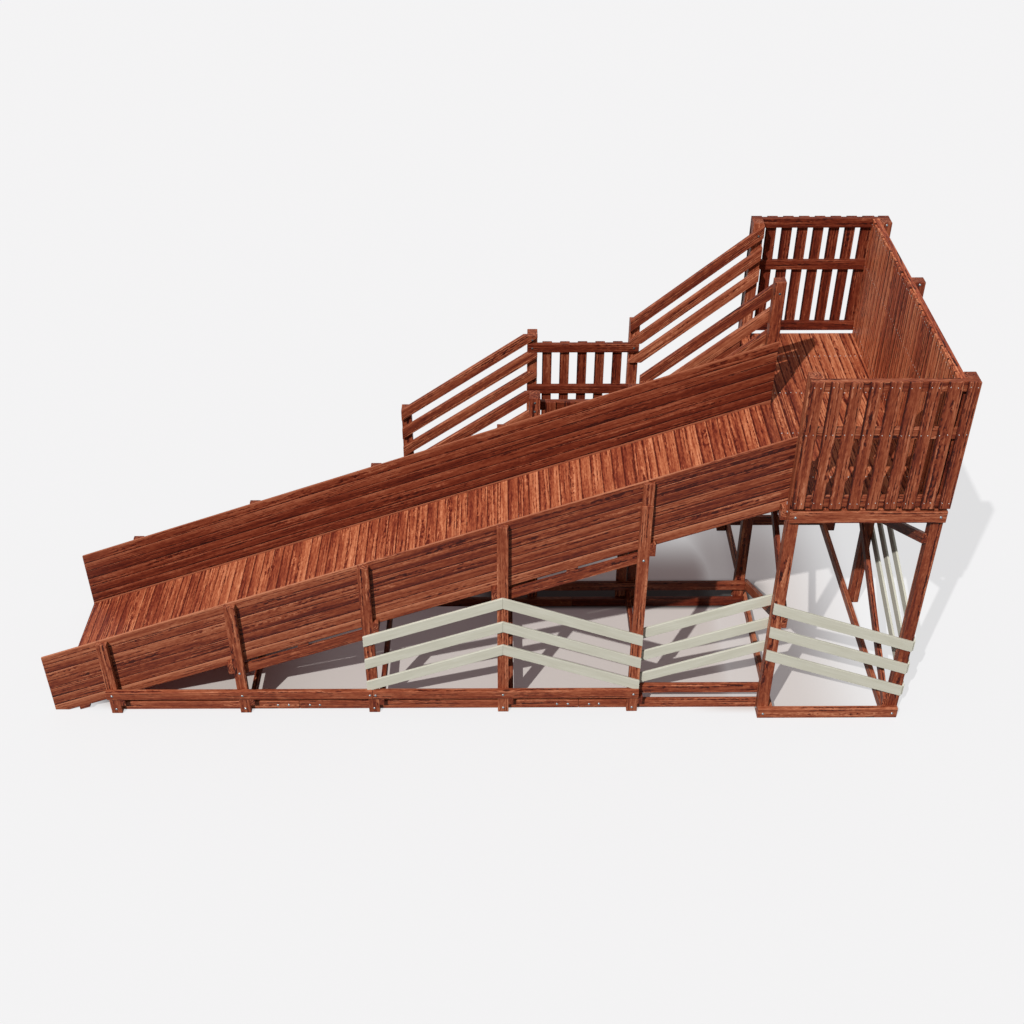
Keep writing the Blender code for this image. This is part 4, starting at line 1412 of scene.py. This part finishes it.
@dataclass
class Fasteners:
    """The heads of coach bolts or nails, turned from one profile of radii and heights."""

    name: str
    profile: tuple[Span, ...]
    sides: int
    places: list[tuple[Vector, Turned]] = field(default_factory=list)

    def drive(self, turned: Turned, *places: Colour) -> None:
        """Note more heads at places of the layout."""
        self.places.extend((Vector(place), turned) for place in places)

    def set(self, shop: Workshop, finish: Finish) -> None:
        """Turn all the heads into one mesh."""
        points: list[Vector] = []
        faces: list[Face] = []
        for place, turned in self.places:
            turn = Vector(turned.value).to_track_quat("Z", "Y").to_matrix()
            spin = shop.lot(0.0, math.tau / self.sides)
            first = len(points)
            for radius, height in self.profile:
                for side in range(self.sides):
                    angle = spin + math.tau * side / self.sides
                    local = Vector((radius * math.cos(angle), radius * math.sin(angle), height))
                    points.append(turn @ local + place)
            for ring in range(first, len(points) - self.sides, self.sides):
                for side in range(self.sides):
                    a, b = ring + side, ring + (side + 1) % self.sides
                    faces.append((a, b, b + self.sides, a + self.sides))
            faces.append(tuple(range(len(points) - self.sides, len(points))))
        shop.lay(self.name, np.array(points), faces, finish, smooth=True)


@dataclass
class Ironmongery(Section):
    """Where the bolts and nails go."""

    chute: Chute
    tower: Tower
    stair: Stair
    high_rail_bolts: tuple[float, ...] = (0.054, 1.252, 2.425, 2.476, 3.649, 4.851)
    splice_bolts: tuple[float, ...] = (1.544, 1.646, 1.843, 1.936, 4.154, 4.257, 4.454, 4.547)
    low_rail: float = 0.048
    foot: float = 0.054
    bearer: float = 0.258
    high_rail: float = 0.264
    beams: Span = (0.055, 2.342)
    ties: Span = (0.048, 2.338)
    post_top: float = 3.625
    railing: float = 2.43
    railing_tops: Span = (3.535, 3.54)
    sideways: float = 0.004
    upright: float = 0.006
    edge: float = 0.022
    sunk: float = 0.0004
    proud: float = 0.0005

    DOME = (
        (0.0115, -0.001), (0.0115, 0.0016), (0.0086, 0.0020),
        (0.0086, 0.0040), (0.0066, 0.0058), (0.0030, 0.0066),
    )
    NAIL = ((0.0044, -0.002), (0.0042, 0.0004), (0.0026, 0.0008))
    STUD = ((0.0068, -0.002), (0.0066, 0.0004), (0.0042, 0.0008))

    def build(self) -> None:
        """Drive every bolt and nail."""
        bolts, rails = Fasteners("bolts", self.DOME, 16), Fasteners("rail_bolts", self.DOME, 16)
        nails, studs = Fasteners("nails", self.NAIL, 8), Fasteners("deck_nails", self.STUD, 8)
        self._frame_bolts(bolts)
        self._tower_bolts(bolts)
        self._stair_bolts(rails)
        self._tower_nails(nails, studs)
        finishes = (Finish.ZINC, Finish.DULL_ZINC, Finish.NAIL, Finish.NAIL)
        for heads, finish in zip((bolts, rails, nails, studs), finishes):
            heads.set(self.shop, finish)

    def stray(self, reach: float) -> float:
        """How far a nail strays from its line."""
        return self.shop.lot(-reach, reach)

    def _frame_bolts(self, bolts: Fasteners) -> None:
        """Bolt the rails and joists to the trestles."""
        chute, rail = self.chute, self.low_rail
        bolts.drive(Turned.FRONT, *((x, -PLANK, self.high_rail) for x in self.high_rail_bolts))
        for x in self.splice_bolts:
            bolts.drive(Turned.FRONT, (x, chute.post_depth + HAIR, rail))
            bolts.drive(Turned.BACK, (x, chute.width - chute.post_depth - HAIR, rail))
        for number in range(5):
            middle = chute.bay * number + POST / 2
            for y, turned in ((0.0, Turned.FRONT), (chute.width, Turned.BACK)):
                if number == 4 and turned is Turned.BACK:
                    continue
                bolts.drive(turned, (middle, y, self.foot))
                if number in (1, 4):
                    x = middle if number == 1 else middle + BITE
                    bolts.drive(turned, (x, y, chute.at(x, rail)))
            if 0 < number < 4:
                bolts.drive(Turned.BACK, (middle, chute.width, self.bearer))

    def _tower_bolts(self, bolts: Fasteners) -> None:
        """Bolt the tower's beams to its posts."""
        tower = self.tower
        middles = (tower.left + POST / 2, tower.right - POST / 2)
        for y, turned in ((tower.front[0], Turned.FRONT), (tower.back[1], Turned.BACK)):
            bolts.drive(turned, *((x, y, z) for x in middles for z in self.beams))
        for row in tower.rows:
            for z in self.ties:
                bolts.drive(Turned.RIGHT, (tower.right, row + POST / 2, z))
                bolts.drive(Turned.LEFT, (tower.left, row + POST / 2, z))
        bolts.drive(Turned.FRONT, *((middles[1], row, self.post_top) for row in tower.rows[1:]))

    def _stair_bolts(self, bolts: Fasteners) -> None:
        """Bolt the railings and the landing's guards to their newels."""
        stair = self.stair
        rail, level = self.railing, stair.guard_rails[2] + RAIL / 2
        left, right = (newel[0] + POST / 2 for newel in (stair.left_newel, stair.right_newel))
        for y, turned in ((stair.far_face - PLANK, Turned.FRONT), (stair.far_face + POST, Turned.BACK)):
            bolts.drive(turned, (left, y, rail), (left, y, level), (right, y, level))
        bolts.drive(Turned.FRONT, *((left, stair.near_face - POST, z) for z in (rail, level)))
        x = self.tower.left + POST / 2
        planes = (stair.far_face - PLANK, self.tower.rows[1])
        bolts.drive(Turned.FRONT, *((x, y, z) for y, z in zip(planes, self.railing_tops)))

    def _tower_nails(self, nails: Fasteners, studs: Fasteners) -> None:
        """Nail the slats, the deck and the boards of the right side."""
        tower = self.tower
        middles = [low + RAIL / 2 for low in tower.ledgers]
        faces = (tower.front[0] - tower.slat_depth, tower.back[1] + tower.slat_depth)
        for y, turned in zip(faces, (Turned.FRONT, Turned.BACK)):
            for number in range(tower.slats):
                start = tower.left + tower.slat_pitch * number
                for z in middles:
                    for across in inset((0.0, tower.slat_width), self.edge):
                        x = start + across + self.stray(self.sideways)
                        nails.drive(turned, (x, y, z + self.stray(self.upright)))
        for board in boards(tower.left, tower.far[1], tower.deck_board)[1:]:
            for y in tower.joists:
                for x in quarters(board):
                    studs.drive(Turned.UP, (x, y + self.stray(self.sideways), tower.deck_top - self.sunk))
        for board in boards(*tower.depth, tower.wall_board):
            for z in middles:
                for y in quarters(board):
                    x = tower.far[0] - tower.slat_depth + self.proud
                    nails.drive(Turned.LEFT, (x, y, z + self.stray(self.upright)))


@dataclass
class Studio:
    """A pale floor with painted shade under the slide, a white sky and one lamp, with the camera where the
    photograph was taken.
    """

    reach: float = 90.0
    floor_drop: float = 0.0006
    sky: Colour = (0.42, 0.42, 0.42)
    backdrop: Colour = (0.900, 0.897, 0.900)
    lamp_power: float = 4.2
    lamp_width: float = 0.7
    lamp_way: Colour = (0.518, 0.884, -1.0)
    lamp_place: Colour = (-5.0, -9.0, 10.0)
    eye: Colour = (0.267, -9.998, 8.838)
    turns: tuple[tuple[float, str], ...] = ((-0.446, "Z"), (52.94, "X"), (0.099, "Z"))
    lens: float = 45.816
    sensor: float = 36.0
    far: float = 400.0

    def build(self) -> None:
        """Set up the floor, the light and the camera."""
        self._floor()
        self._lamp()
        self._sky()
        self._camera()
        LOG.info("studio: floor, sky, lamp and camera")

    def _hold(self, data: bpy.types.ID) -> bpy.types.Object:
        """Put a mesh, lamp or camera in the scene."""
        holder = bpy.data.objects.new(data.name, data)
        bpy.context.scene.collection.objects.link(holder)
        return holder

    def _floor(self) -> None:
        """Lay the floor just below the slide."""
        mesh = bpy.data.meshes.new("studio_floor")
        corners = [(x * self.reach, y * self.reach, 0.0) for x, y in ((-1, -1), (1, -1), (1, 1), (-1, 1))]
        mesh.from_pydata(corners, [], [(0, 1, 2, 3)])
        mesh.materials.append(PaleFloor().make())
        floor = self._hold(mesh)
        floor.location.z = -self.floor_drop

    def _lamp(self) -> None:
        """Hang the lamp."""
        lamp = bpy.data.lights.new("studio_lamp", "SUN")
        lamp.energy = self.lamp_power
        lamp.angle = math.radians(self.lamp_width)
        holder = self._hold(lamp)
        holder.rotation_euler = Vector(self.lamp_way).to_track_quat("-Z", "Y").to_euler()
        holder.location = self.lamp_place

    def _sky(self) -> None:
        """Paint the sky, with one plain tone where the camera sees it."""
        world = bpy.data.worlds.new("studio_sky")
        world.use_nodes = True
        nodes, links = world.node_tree.nodes, world.node_tree.links
        seen = nodes.new("ShaderNodeMix")
        seen.data_type = "RGBA"
        seen.inputs[6].default_value = (*self.sky, 1.0)
        seen.inputs[7].default_value = (*self.backdrop, 1.0)
        links.new(nodes.new("ShaderNodeLightPath").outputs["Is Camera Ray"], seen.inputs[0])
        links.new(seen.outputs[2], nodes["Background"].inputs["Color"])
        bpy.context.scene.world = world
        bpy.context.scene.view_settings.view_transform = "Standard"

    def _camera(self) -> None:
        """Stand the camera."""
        camera = bpy.data.cameras.new("studio_camera")
        camera.lens, camera.sensor_width, camera.clip_end = self.lens, self.sensor, self.far
        holder = self._hold(camera)
        pan, tilt, roll = (Matrix.Rotation(math.radians(angle), 4, axis) for angle, axis in self.turns)
        holder.matrix_world = Matrix.Translation(self.eye) @ pan @ tilt @ roll
        bpy.context.scene.camera = holder


def main() -> None:
    """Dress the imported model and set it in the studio."""
    logging.basicConfig(level=logging.INFO, format="%(name)s: %(message)s")
    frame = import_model()
    LOG.info("%d nodes to dress", len(frame["nodes"]))
    shop = Workshop()
    chute, tower, stair = Chute(shop), Tower(shop), Stair(shop)
    fixings = Ironmongery(shop, chute, tower, stair)
    for part in (chute, GroundRails(shop), tower, stair, PaleRails(shop), fixings):
        part.build()
        LOG.info("%s is set", type(part).__name__)
    Studio().build()
    LOG.info("%d pieces", shop.pieces)


if __name__ == "__main__":
    main()
